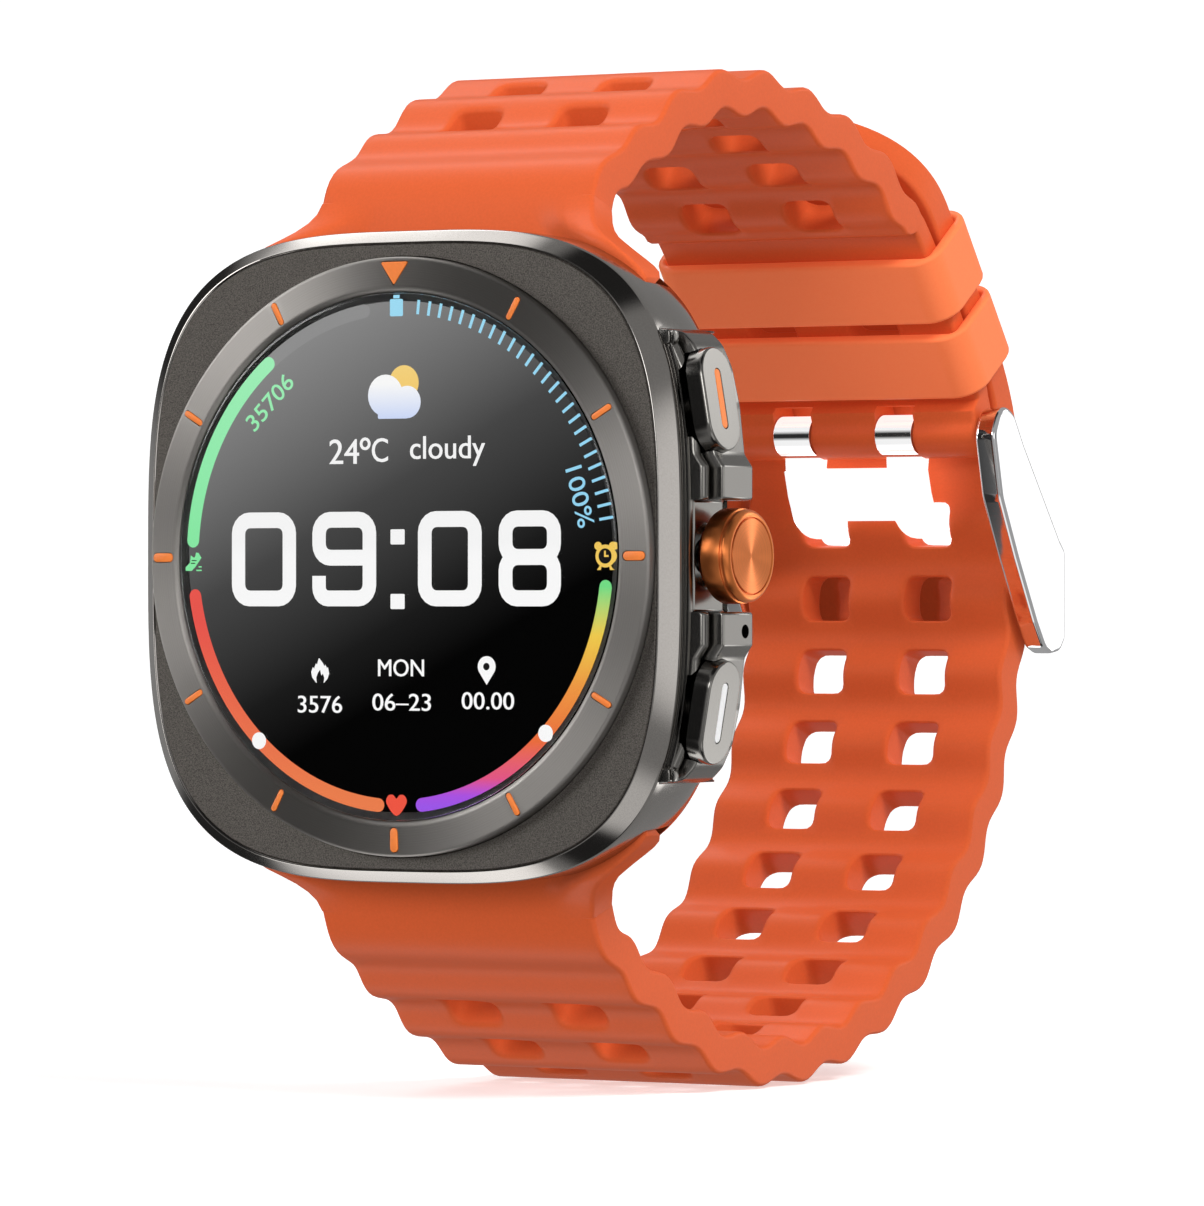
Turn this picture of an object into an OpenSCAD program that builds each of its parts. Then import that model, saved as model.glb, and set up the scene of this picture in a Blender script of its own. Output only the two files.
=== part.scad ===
// Running watch with a squircle case, a round display, a crown, two side buttons
// and a wavy rubber strap that is buckled into a closed loop.
// X points to the crown side, the face looks to -Y, and +Z is twelve o'clock.
// The origin is the middle of the flat outer face of the rear sensor window.

/* [Case] */
// Half width of the case, crown side to far side
case_a = 23.4; // [22.8:0.1:24]
// Half height of the case, twelve to six o'clock
case_b = 23.8; // [23.4:0.1:24.4]
// Depth from the plane of the hour markers to the sensor window
case_depth = 13.6; // [13.2:0.1:14.2]
// Squareness of the case outline, 2 being an ellipse
corner_n = 3.4; // [3:0.1:3.8]
// Height of the polished chamfer round the front plate
chamfer_h = 1.0; // [0.7:0.1:1.2]

/* [Front] */
// Outer radius of the bezel ring
ring_r = 21.85; // [21.6:0.05:21.9]
// Radius of the cover glass
glass_r = 19.2; // [18.8:0.1:19.3]
// Thickness of the cover glass
glass_t = 0.5; // [0.4:0.1:0.6]
// Length of an hour bar
bar_len = 1.8; // [1.4:0.1:2]

/* [Crown and buttons] */
// Outer radius of the crown
crown_r = 3.43; // [3.2:0.01:3.6]
// How far the crown goes in when pressed
crown_travel = 0.4; // [0.2:0.1:0.5]
// Length of a side button along the case
button_len = 7.6; // [6.8:0.1:8]
// Width of a side button across the case
button_wid = 4.2; // [3.6:0.1:4.4]
// How far a side button goes in when pressed
button_travel = 0.5; // [0.3:0.1:0.6]
// Slant of the side buttons, which follow the rounding of the case
button_slant = 10; // [8:1:12]

/* [Strap] */
// Width of the strap
strap_w = 24; // [22:0.5:24]
// Thickness of the strap
strap_t = 3.0; // [2.8:0.1:3.2]
// Height of the waves, middle to crest
wave_amp = 0.42; // [0.3:0.01:0.5]
// Distance from wave to wave along the strap
wave_pitch = 6.13; // [6.1:0.01:6.16]
// Distance between the two rows of holes
hole_rows = 9.4; // [8.6:0.1:10]
// Width of a strap hole, across the strap
hole_w = 4.2; // [3.8:0.1:4.4]
// Length of a strap hole, along the strap
hole_l = 3.6; // [3.2:0.1:3.8]

/* [Keepers and buckle] */
// Length of a keeper along the strap
keeper_l = 5.7; // [5:0.1:5.8]
// Outer thickness of a keeper
keeper_t = 8.0; // [7.9:0.1:8.2]
// Wall thickness of a keeper
keeper_wall = 1.1; // [1:0.05:1.15]
// Radius of the spring bar
bar_r = 1.0; // [0.9:0.05:1.1]
// Width of one arm of the buckle frame
arm_w = 1.9; // [1.6:0.1:2.2]

/* [Hidden] */
$fn = 64;
eps = 0.01;
run_fit = 0.05;     // radial clearance of a running fit
seat_fit = 0.08;    // gap between a strap end and its seat in the case

// Depths below are measured from the plane of the hour markers.
plate_y = 0.8;
plate_t = 0.8;
glass_y = 0;
flange_y = 1.2;      // where the bezel ring turns in under the glass
ledge_y = plate_y + plate_t + 0.3;
case_back_y = 11.9;
cover_back_y = 12.9;
front_bore_r = 18.9;
cavity_r = 17.2;
rear_bore_r = 16.2;
window_r = 11.5;
screw_x = 13.6;
screw_z = 12.9;

// Outline of the case at several depths: [depth, half width, half height].
CASE_SECTIONS = [
    [plate_y, case_a - 1.35, case_b - 0.95], [plate_y + chamfer_h, case_a - 0.1, case_b - 0.1],
    [2.5, case_a, case_b], [5.4, case_a - 0.05, case_b - 0.05], [8.2, case_a - 0.32, case_b - 0.32],
    [9.6, case_a - 0.8, case_b - 0.8], [10.9, case_a - 1.95, case_b - 1.95],
    [case_back_y, case_a - 3.6, case_b - 3.6]
];

crown_y = 5.9;
crown_face_x = 26.9;
crown_base_x = 24.5;
recess_x = 23.5;
stem_r = 0.9;
tube_x0 = 16.6;
tube_x1 = 25.0;
guard_x0 = 20.6;
guard_y0 = 2.3;
guard_y1 = 10.2;
guard_end_z = 16.3;
button_face_x = 25.3;
button_y = 4.3;
button_z = 11.25;
button_head = 1.5;
button_stem_r = 0.8;
mic_y = 6.4;
mic_z = -5.4;
mic_r = 0.5;

// Runs of the strap's centreline, each [length, turn in degrees], from the case outwards.
strap_y0 = 8.85;
strap_z0 = 20;
start_dir = 92;
UPPER_RUN = [[5, -14], [5.5, -57.8], [5.9, 11.2], [15.8, -37.8], [16.5, -20.7],
             [10.3, -24.4], [13.1, -3.1], [3.4, -30]];
LOWER_RUN = [[5, 14], [5.5, 46.4], [9, 1], [16.2, 32], [37.5, 59.6], [20.4, 30.6],
             [10.5, 12.6], [6.7, 22], [14.6, 0], [8, 13]];
upper_crest = 13.05;
lower_crest = 13.75;
upper_rows = 7;
lower_rows = 14;
flat_from = 56.4;   // the upper strap runs flat and thin inside the keepers
flat_to = 72.4;
gap_row = 65.1;     // holes between the two keepers
fade_from = 98.7;   // the waves of the lower strap fade out towards the tail
end_from = 4.6;

// Bands across a strap end: [from x, to x, front depth, back depth].
end_bands = [[0, 13.2, 7.3, 10.6], [12.4, 15.8, 5.6, 9.2], [15.2, 19.5, 4.6, 7.8]];

keeper_y = 55.5;
keeper_z = 23.0;
keeper_dir = -54;
keeper_gap = 1.4;
side_wall = 0.9;

bar_y = 65.4;
bar_z = 10.0;
barrel_r = 1.9;
notch_x = 4.7;
notch_w = 3.5;
arm_x0 = strap_w / 2 + 0.4;
cross_y = 73.4;
cross_t = 1.5;
tang_t = 0.9;
tang_w = 12.8;
prong_w = 3.3;

titanium = [0.36, 0.34, 0.32];
steel = [0.72, 0.72, 0.72];
orange = [0.88, 0.42, 0.24];
orange_metal = [0.86, 0.45, 0.16];
black = [0.08, 0.08, 0.08];
gold = [0.83, 0.68, 0.32];

// --- helpers ---------------------------------------------------------------

// Moves a shape whose depth is measured from the markers' plane into the frame.
module watch() translate([0, -case_depth, 0]) children();

// A front-view outline (X, Z) extruded from depth y0 to depth y1.
module slab(y0, y1) translate([0, y1, 0]) rotate([90, 0, 0]) linear_extrude(y1 - y0) children();

module disc(y0, y1, r) slab(y0, y1) circle(r);

module ring(y0, y1, r_out, r_in) slab(y0, y1) difference() {
    circle(r_out);
    circle(r_in);
}

// A (radius, depth) profile spun about the axis of the display.
module lathe_y() rotate([-90, 0, 0]) rotate_extrude($fn = 128) children();

// A (radius, x) profile spun about an axis along X.
module lathe_x() rotate([0, 90, 0]) rotate_extrude() children();

// A side-view outline (Y, Z) extruded from x0 to x1.
module side(x0, x1) translate([x0, 0, 0]) rotate([90, 0, 90]) linear_extrude(x1 - x0) children();

module rod(x0, x1, y, z, r) translate([x0, y, z]) rotate([0, 90, 0]) cylinder(r = r, h = x1 - x0);

module box(x0, x1, y0, y1, z0, z1) translate([x0, y0, z0]) cube([x1 - x0, y1 - y0, z1 - z0]);

module both_sides() {
    children();
    mirror([1, 0, 0]) children();
}

// A copy for the upper strap end, or mirrored for the lower one.
module end_of(upper) mirror([0, 0, upper ? 0 : 1]) children();

function squircle(a, b, m = 96) = [
    for (i = [0 : m - 1]) let (c = cos(360 * i / m), s = sin(360 * i / m))
        [a * sign(c) * pow(abs(c), 2 / corner_n), b * sign(s) * pow(abs(s), 2 / corner_n)]
];

// A solid that passes through squircle outlines at the given depths.
module squircle_loft(sections, m = 96) {
    n = len(sections);
    points = [for (s = sections) for (p = squircle(s[1], s[2], m)) [p[0], s[0], p[1]]];
    sides = [for (k = [0 : n - 2]) for (i = [0 : m - 1]) let (j = (i + 1) % m)
        [k * m + i, k * m + j, (k + 1) * m + j, (k + 1) * m + i]];
    front = [for (i = [m - 1 : -1 : 0]) i];
    back = [for (i = [0 : m - 1]) (n - 1) * m + i];
    polyhedron(points = points, faces = concat(sides, [front, back]), convexity = 4);
}

// Walks along runs of [length, turn]: returns [y, z, heading] at distance s.
function walk(runs, s, y, z, h, k = 0) =
    let (len_k = runs[k][0], turn = runs[k][1], last = k == len(runs) - 1,
         d = (s <= len_k || last) ? s : len_k, bend = turn * d / len_k,
         mid = h + bend / 2, half = bend * PI / 360,
         chord = abs(half) < 1e-6 ? d : d * sin(bend / 2) / half,
         y1 = y + chord * cos(mid), z1 = z + chord * sin(mid))
    (s <= len_k || last) ? [y1, z1, h + bend] : walk(runs, s - len_k, y1, z1, h + bend, k + 1);

function total(runs, k = 0) = k == len(runs) ? 0 : runs[k][0] + total(runs, k + 1);
function smooth(a, b, s) = let (t = max(0, min(1, (s - a) / (b - a)))) t * t * (3 - 2 * t);
function upper_at(s) = walk(UPPER_RUN, s, strap_y0, strap_z0, start_dir);
function lower_at(s) = walk(LOWER_RUN, s, strap_y0, -strap_z0, -start_dir);

// Offsets of the strap's faces from its centreline, outwards positive.
function upper_wave(s) = wave_amp * cos(360 * (s - upper_crest) / wave_pitch)
    * smooth(4.5, 11, s) * (1 - smooth(flat_from - 2, flat_from, s));
function lower_wave(s) = wave_amp * cos(360 * (s - lower_crest) / wave_pitch)
    * smooth(5, 12, s) * (1 - smooth(fade_from, fade_from + 6, s));
function in_flat(s) = smooth(flat_from - 0.7, flat_from, s) * (1 - smooth(flat_to, flat_to + 0.7, s));
function upper_outer(s) = strap_t / 2 + upper_wave(s) + 0.2 * in_flat(s);
function upper_inner(s) = -strap_t / 2 + upper_wave(s) + 1.3 * in_flat(s);
function lower_outer(s) = strap_t / 2 + lower_wave(s) - 0.1 * smooth(fade_from + 4, fade_from + 10, s);
function lower_inner(s) = -strap_t / 2 + lower_wave(s) + 0.1 * smooth(fade_from + 4, fade_from + 10, s);
function off_upper(s, o) = let (p = upper_at(s)) [p[0] - o * sin(p[2]), p[1] + o * cos(p[2])];
function off_lower(s, o) = let (p = lower_at(s)) [p[0] + o * sin(p[2]), p[1] - o * cos(p[2])];

step_s = wave_pitch / 8;
upper_end = total(UPPER_RUN);
lower_end = total(LOWER_RUN);

// Places a child at distance s along a strap: its Y runs along the strap.
module on_strap(p) translate([0, p[0], p[1]]) rotate([p[2], 0, 0]) children();

module hole_pair() both_sides() translate([hole_rows / 2, 0, 0]) cube([hole_w, hole_l, 12], center = true);

// Front-view outline of a strap end, with a horn at each side that wraps the case corner.
module strap_end_outline(grow = 0) {
    right = [[strap_w / 2, 26.4], [12.5, 24.7], [13.6, 23.5], [15.2, 22.55], [16.9, 21.5],
             [18.1, 20.7], [18.75, 19.95], [18.2, 19.25], [16.2, 19.0], [14.2, 19.45], [12, 19.95]];
    left = [for (i = [len(right) - 1 : -1 : 0]) [-right[i][0], right[i][1]]];
    outline = concat(right, left);
    if (grow == 0) polygon(outline);
    else offset(delta = grow) polygon(outline);
}

// The strap end in three bands across the strap: the horns step forwards round the case.
module strap_end(grow = 0) for (band = end_bands, side = [-1, 1])
    slab(band[2] - grow, band[3] + grow) intersection() {
        strap_end_outline(grow);
        translate([side > 0 ? band[0] - grow : -band[1] - grow, 0])
            square([band[1] - band[0] + 2 * grow, 40]);
    }

// Room for the strap end, cut out of the case.
module strap_seat(upper) end_of(upper) {
    strap_end(seat_fit);
    box(-strap_w / 2 - seat_fit, strap_w / 2 + seat_fit, 7.3 - seat_fit, 10.6 + seat_fit, 20, 27);
}

// The metal lug that holds the strap end in the case, and its tongue in the rubber.
module lug_shape(gap = 0) {
    box(-10 - gap, 10 + gap, 7.6 - gap, 10.3 + gap, 20.0 - gap, 22.2 + gap);
    box(-8 - gap, 8 + gap, 8.4 - gap, 9.6 + gap, 22, 25.2 + gap);
}

module release_button(upper) end_of(upper) {
    slab(10.9, 12.2) stadium(4.6, 1.5, 19.1);
    box(-1.2, 1.2, 8.7, 11, 18.6, 19.4);
    box(-1.2, 1.2, 8.7, 9.3, 18.6, 20.5);
}

module release_pocket(upper) end_of(upper) {
    slab(10.1, 12.5) stadium(4.9, 1.8, 19.1);
    box(-1.4, 1.4, 7.7, 11, 18.4, 20.7);
}

// A long rounded outline lying along X at height z.
module stadium(l, w, z) {
    translate([-(l - w) / 2, z - w / 2]) square([l - w, w]);
    for (sx = [-1, 1]) translate([sx * (l - w) / 2, z]) circle(w / 2);
}

// Places a button part: local +X is out of the case, local Z is along the button.
module on_button(upper) end_of(upper)
    translate([button_face_x, button_y, button_z]) rotate([0, -button_slant, 0]) children();

// A rounded plate in the button's own frame, from x0 to x1.
module button_plate(x0, x1, l, w) {
    translate([x0, -w / 2, -(l - w) / 2]) cube([x1 - x0, w, l - w]);
    for (sz = [-1, 1]) translate([x0, 0, sz * (l - w) / 2]) rotate([0, 90, 0]) cylinder(d = w, h = x1 - x0);
}

// Room for a button's head and stem.
module button_room(upper) on_button(upper) {
    button_plate(-button_head - button_travel - 0.2, 3, button_len + 0.3, button_wid + 0.3);
    rotate([0, -90, 0]) cylinder(r = button_stem_r + run_fit, h = 12);
}

// Room inside the case wall for a button's clip and switch.
module button_cave(upper) on_button(upper) translate([-11.5, -1.1, -1.8]) cube([4.9, 3, 3.6]);

// --- case and front --------------------------------------------------------

module case_body() color(titanium) watch() difference() {
    squircle_loft(CASE_SECTIONS);
    slab(plate_y - 1, plate_y + plate_t) polygon(squircle(case_a - 1.37, case_b - 0.97));
    disc(0, ledge_y, 20.4);
    disc(0, 3.7, front_bore_r);
    disc(3, 10.9, cavity_r);
    disc(10, 13, rear_bore_r);
    ring(case_back_y - 0.5, 13, 17.6, 16.8);
    for (sx = [-1, 1], sz = [-1, 1]) translate([sx * screw_x, case_back_y + 1, sz * screw_z])
        rotate([90, 0, 0]) cylinder(r = 0.6, h = 4.5);
    for (upper = [true, false]) {
        strap_seat(upper);
        release_pocket(upper);
        button_room(upper);
        button_cave(upper);
    }
    box(guard_x0, 30, guard_y0, guard_y1, -guard_end_z, guard_end_z);
    rod(16, 30, crown_y, 0, 1.6);
    rod(16, 30, mic_y, mic_z, mic_r);
}

module front_plate() color(titanium) watch() slab(plate_y, plate_y + plate_t) difference() {
    polygon(squircle(case_a - 1.4, case_b - 1.0));
    circle(20.4);
}

module marker_bar(w, l = bar_len) translate([20.6 - l / 2, 0]) {
    translate([w / 2, -w / 2]) square([l - w, w]);
    for (px = [w / 2, l - w / 2]) translate([px, 0]) circle(w / 2);
}

// Hour markers as a front-view outline: a triangle at twelve and eleven bars.
module marker_outline() {
    polygon([[-1.2, 21.45], [1.2, 21.45], [0, 19.75]]);
    for (h = [1 : 11]) rotate(90 - 30 * h) marker_bar(h % 3 == 0 ? 0.66 : 0.44);
}

module bezel_ring() color(titanium) watch() difference() {
    lathe_y() polygon([[ring_r, plate_y], [ring_r, 0.25], [ring_r - 0.2, 0.05], [19.55, -0.1],
                       [19.3, 0.05], [19.3, flange_y], [18.65, flange_y], [18.65, ledge_y - 0.02],
                       [20.35, ledge_y - 0.02], [20.35, plate_y]]);
    slab(-1, 0.35) marker_outline();
}

module bezel_markers() color(orange) watch() slab(-0.02, 0.35) marker_outline();

module cover_glass() color([0.1, 0.1, 0.1, 0.4]) watch() disc(glass_y, glass_y + glass_t, glass_r);

module display_module() color(black) watch() {
    disc(glass_y + glass_t, 2.6, 18.6);
    box(-4, 4, 2.6, 3.6, -14, -6);
}

module display_gasket() color(black) watch() ring(glass_y + glass_t, flange_y, 19.2, 18.62);

// --- inside ----------------------------------------------------------------

module inner_frame() color([0.2, 0.2, 0.22]) watch() difference() {
    union() {
        ring(3.9, 10.8, 17.1, 16.1);
        disc(5.2, 5.8, 16.5);
    }
    rod(10, 20, crown_y, 0, 2.2);
    rod(15, 20, mic_y, mic_z, 1.6);
    for (sz = [-1, 1]) translate([16.2, 4.2, sz * 9.5 - 2.2]) cube([4, 6, 4.4]);
    box(2, 8, 5, 6, -3, 3);
}

module main_board() color([0.1, 0.35, 0.2]) watch() {
    difference() {
        disc(4.4, 5.2, 15.2);
        box(10.5, 16, 4, 6, -2.5, 2.5);
    }
    box(-9, -1, 3.8, 4.4, 2, 9);
    box(2, 8, 3.8, 4.4, 3, 8);
    box(-7, -3, 3.9, 4.4, -3, 0);
}

module battery() color([0.75, 0.76, 0.78]) watch() box(-13, 6, 5.9, 10.3, -8.5, 8.5);

module haptic_motor() color(steel) watch() translate([9.3, 8.8, -8.4]) rotate([90, 0, 0])
    cylinder(r = 3.1, h = 2.6);

module speaker() color(black) watch() box(7, 11.2, 6.0, 9.2, 4.6, 10.6);

module microphone() color(steel) watch() box(12.6, 14.3, 5.9, 7.4, mic_z - 1.3, mic_z + 1.3);

module rear_cover() color([0.13, 0.13, 0.14]) watch() difference() {
    squircle_loft([[case_back_y, 18.4, 17.8], [12.4, 18.2, 17.6], [cover_back_y, 17.4, 16.8]]);
    disc(11, 14, window_r - 0.9);
    disc(12.3, 14, window_r + 0.04);
    for (sx = [-1, 1]) translate([sx * 2.3, 14, -14.2]) rotate([90, 0, 0]) cylinder(r = 1.05, h = 4);
    for (sx = [-1, 1], sz = [-1, 1]) translate([sx * screw_x, 14, sz * screw_z]) rotate([90, 0, 0]) {
        cylinder(r = 0.62, h = 4);
        cylinder(r = 1.15, h = 1.5);
    }
}

module rear_gasket() color([0.7, 0.2, 0.1]) watch() ring(case_back_y - 0.5, case_back_y, 17.55, 16.85);

module rear_screws() color(steel) watch() for (sx = [-1, 1], sz = [-1, 1])
    translate([sx * screw_x, 12.75, sz * screw_z]) rotate([90, 0, 0]) difference() {
        union() {
            cylinder(r = 0.6, h = 4);
            translate([0, 0, 0.05]) cylinder(r = 1.1, h = 0.2);
        }
        translate([0, 0, -0.1]) cylinder(r = 0.45, h = 0.35, $fn = 6);
    }

module sensor_window() color([0.05, 0.05, 0.06]) watch()
    lathe_y() polygon([[0, 12.3], [window_r, 12.3], [window_r, 13.1], [10.6, case_depth], [0, case_depth]]);

module sensor_module() color([0.1, 0.3, 0.2]) watch() {
    disc(11.1, 11.7, 9.8);
    for (k = [0 : 3]) rotate([0, 90 * k, 0]) box(4.6, 6.6, 11.7, 12.2, -1, 1);
    box(-1.2, 1.2, 11.7, 12.2, -1.2, 1.2);
}

module charging_contacts() color(gold) watch() for (sx = [-1, 1])
    translate([sx * 2.3, 12.95, -14.2]) rotate([90, 0, 0]) cylinder(r = 1.0, h = 1.6);

// --- crown side ------------------------------------------------------------

// Front-view outline of the guard; both ends taper into the case.
module guard_outline(inset = 0) {
    quarter = [[recess_x - inset, 0], [recess_x - inset, 4], [26 - inset, 4], [26 - inset, 6.4],
               [25.35 - inset, 7.3], [24.95 - inset, 10.8], [24.3 - inset, 13.6], [23.5 - inset, 15.2],
               [22.6 - inset, 16.05], [21.4, guard_end_z], [guard_x0, guard_end_z]];
    half = [for (i = [len(quarter) - 1 : -1 : 1]) [quarter[i][0], -quarter[i][1]]];
    polygon(concat(half, quarter));
}

module side_guard() color(titanium) watch() difference() {
    union() {
        slab(guard_y0, guard_y1) guard_outline(0.9);
        slab(guard_y0 + 0.75, guard_y1 - 0.6) guard_outline();
    }
    rod(20, 30, crown_y, 0, 1.6);
    rod(recess_x, 30, crown_y, 0, crown_r + 0.35);
    rod(16, 30, mic_y, mic_z, mic_r);
    for (upper = [true, false]) button_room(upper);
}

module crown_cap() color(orange_metal) watch() difference() {
    translate([0, crown_y, 0]) lathe_x() polygon([
        [0, crown_base_x], [crown_r - 0.25, crown_base_x], [crown_r, crown_base_x + 0.25],
        [crown_r, 26.2], [3.25, 26.4], [3.25, 26.6], [3.1, crown_face_x], [0, crown_face_x]]);
    rod(24, 25.5, crown_y, 0, 2.6);
    rod(26.7, 28, crown_y, 0, 2.75);
    rod(24, 26.2, crown_y, 0, stem_r);
}

module crown_disc() color(orange_metal) watch() rod(26.7, 26.95, crown_y, 0, 2.7);

module crown_stem() color(steel) watch() difference() {
    rod(15.6, 26.2, crown_y, 0, stem_r);
    translate([19.9, crown_y, 0]) lathe_x() polygon([[0.6, 0], [1.2, 0], [1.2, 0.5], [0.6, 0.5]]);
}

module crown_seal() color(black) watch()
    translate([19.95, crown_y, 0]) lathe_x() polygon([[0.6, 0], [0.93, 0], [0.93, 0.4], [0.6, 0.4]]);

module crown_tube() color(steel) watch() difference() {
    union() {
        rod(tube_x0, tube_x1, crown_y, 0, 1.6);
        rod(recess_x, recess_x + 0.3, crown_y, 0, 2.4);
    }
    rod(10, 30, crown_y, 0, stem_r + run_fit);
}

module crown_plunger() color(steel) watch() {
    rod(14.9, 15.55, crown_y, 0, 1.3);
    rod(14 + crown_travel, 14.9, crown_y, 0, 0.6);
}

module crown_switch() color(black) watch() difference() {
    box(11.9, 13.9, 5.9, 9.4, -2, 2);
    box(11, 14, 5, 6.2, -3, 3);
}

module button(upper) color(titanium) watch() on_button(upper) difference() {
    union() {
        button_plate(-button_head, -0.15, button_len, button_wid);
        button_plate(-0.2, 0, button_len - 0.3, button_wid - 0.3);
        translate([-7.9, 0, 0]) rotate([0, 90, 0]) cylinder(r = button_stem_r, h = 7.9 - button_head + eps);
    }
    button_plate(-0.35, 1, 4.4, 0.8);
    translate([-7.6, 0, 0]) lathe_x() polygon([[0.5, 0], [1.2, 0], [1.2, 0.5], [0.5, 0.5]]);
    translate([-4.6, 0, 0]) lathe_x() polygon([[0.5, 0], [1.2, 0], [1.2, 0.5], [0.5, 0.5]]);
}

module button_inlay(upper) watch() on_button(upper) button_plate(-0.35, 0.02, 4.4, 0.8);

module button_seal(upper) color(black) watch() on_button(upper)
    translate([-4.55, 0, 0]) lathe_x() polygon([[0.5, 0], [0.83, 0], [0.83, 0.4], [0.5, 0.4]]);

module button_clip(upper) color(steel) watch() on_button(upper)
    translate([-7.5, 0, 0]) lathe_x() polygon([[0.5, 0], [1, 0], [1, 0.3], [0.5, 0.3]]);

module button_switch(upper) color(black) watch() on_button(upper) translate([-10, -1, -1.5])
    cube([1.5, 2.6, 3]);

module upper_button() button(true);
module upper_button_inlay() color(orange) button_inlay(true);
module upper_button_seal() button_seal(true);
module upper_button_clip() button_clip(true);
module upper_button_switch() button_switch(true);
module lower_button() button(false);
module lower_button_inlay() color([0.95, 0.95, 0.95]) button_inlay(false);
module lower_button_seal() button_seal(false);
module lower_button_clip() button_clip(false);
module lower_button_switch() button_switch(false);

// --- strap -----------------------------------------------------------------

module strap_upper() color(orange) watch() difference() {
    union() {
        side(-strap_w / 2, strap_w / 2) polygon(concat(
            [for (s = [end_from : step_s : upper_end]) off_upper(s, upper_outer(s))],
            [for (s = [upper_end : -step_s : end_from]) off_upper(s, upper_inner(s))]));
        rod(-strap_w / 2, strap_w / 2, bar_y, bar_z, barrel_r);
        strap_end();
    }
    for (k = [0 : upper_rows - 1]) on_strap(upper_at(upper_crest + wave_pitch * (k + 0.5))) hole_pair();
    on_strap(upper_at(gap_row)) hole_pair();
    both_sides() box(notch_x - notch_w / 2, notch_x + notch_w / 2, 60, 70, 7, 12.4);
    rod(-20, 20, bar_y, bar_z, bar_r + run_fit);
    lug_shape(run_fit);
    rod(-9, 9, 9, 24, 0.5);
}

module strap_lower() color(orange) watch() difference() {
    union() {
        intersection() {
            side(-strap_w / 2, strap_w / 2) polygon(concat(
                [for (s = [end_from : step_s : lower_end]) off_lower(s, lower_outer(s))],
                [for (s = [lower_end : -step_s : end_from]) off_lower(s, lower_inner(s))]));
            union() {
                box(-20, 20, 0, 90, -60, 27.5);
                translate([0, 70, 0]) mirror([0, 1, 0]) slab(0, 40)
                    translate([0, 21]) scale([1, 0.95]) circle(strap_w / 2);
            }
        }
        end_of(false) strap_end();
    }
    for (k = [0 : lower_rows - 1]) on_strap(lower_at(lower_crest + wave_pitch * (k + 0.5))) hole_pair();
    end_of(false) {
        lug_shape(run_fit);
        rod(-9, 9, 9, 24, 0.5);
    }
}

module lug(upper) color(steel) watch() end_of(upper) difference() {
    lug_shape();
    rod(-9, 9, 9, 24, 0.5);
    box(-1.6, 1.6, 7.5, 10.4, 19.9, 20.8);
}

module lug_pin(upper) color(steel) watch() end_of(upper) rod(-9, 9, 9, 24, 0.5);

module upper_lug() lug(true);
module lower_lug() lug(false);
module upper_lug_pin() lug_pin(true);
module lower_lug_pin() lug_pin(false);
module upper_release_button() color(titanium) watch() release_button(true);
module lower_release_button() color(titanium) watch() release_button(false);

// A keeper starting at distance d past the upper keeper's top edge.
module keeper(d) color(orange) watch() translate([0, keeper_y, keeper_z]) rotate([keeper_dir, 0, 0])
    translate([0, d, 0]) difference() {
        rounded_bar(strap_w / 2 + 0.1 + side_wall, 0, keeper_t, 1.6);
        translate([0, -1, 0])
            rounded_bar(strap_w / 2 + 0.1, keeper_wall, keeper_t - keeper_wall, 0.3, keeper_l + 2);
    }

// A bar along Y with rounded long edges: half width hw, from height z0 to z1.
module rounded_bar(hw, z0, z1, r, l = keeper_l) translate([0, l, 0]) rotate([90, 0, 0]) linear_extrude(l) {
    translate([-hw, z0 + r]) square([2 * hw, z1 - z0 - 2 * r]);
    translate([-hw + r, z0]) square([2 * hw - 2 * r, z1 - z0]);
    for (sx = [-1, 1], z = [z0 + r, z1 - r]) translate([sx * (hw - r), z]) circle(r);
}

module free_keeper() keeper(0);
module fixed_keeper() keeper(keeper_l + keeper_gap);

// --- buckle ----------------------------------------------------------------

module buckle_spring_bar() color(steel) watch() {
    rod(-strap_w / 2 - 0.1, strap_w / 2 + 0.1, bar_y, bar_z, bar_r);
    rod(-arm_x0 - 1.3, arm_x0 + 1.3, bar_y, bar_z, 0.7);
}

module arm_outline() {
    translate([bar_y, bar_z]) circle(2.2);
    polygon([[63.2, 10], [64.4, 4.9], [66.9, 0.2], [69.9, -4.9], [71.3, -6.9], [72.6, -7.4],
             [74.1, -7.2], [cross_y + cross_t, -6.2], [cross_y + cross_t, 0.8], [74, 1.7],
             [68.2, 9.2], [66, 12.1]]);
}

module buckle_frame() color(steel) watch() difference() {
    union() {
        both_sides() side(arm_x0, arm_x0 + arm_w) arm_outline();
        box(-arm_x0 - eps, arm_x0 + eps, cross_y, cross_y + cross_t, -6.4, 0.5);
    }
    rod(-arm_x0 - 1.4, arm_x0 + 1.4, bar_y, bar_z, 0.7 + run_fit);
    both_sides() box(notch_x - prong_w / 2 - 0.2, notch_x + prong_w / 2 + 0.2,
                     cross_y + cross_t - 0.05, 80, -4.2, 2);
}

// The tang's path in side view, from below the bar through the strap to the crossbar.
TANG_PATH = [[66.1, 6.9], [66.6, 5.3], [67.5, 3.4], [69.6, 2.35], [73.6, 2.2], [75.3, 1.3],
             [75.4, 0.2], [75.4, -3.6]];

module tang_run(from, to) for (k = [from : to - 1]) let (a = TANG_PATH[k], b = TANG_PATH[k + 1],
    d = b - a, l = norm(d)) {
    translate(a) rotate(atan2(d[1], d[0])) translate([0, -tang_t / 2]) square([l, tang_t]);
    translate(a) circle(tang_t / 2);
    translate(b) circle(tang_t / 2);
}

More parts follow.
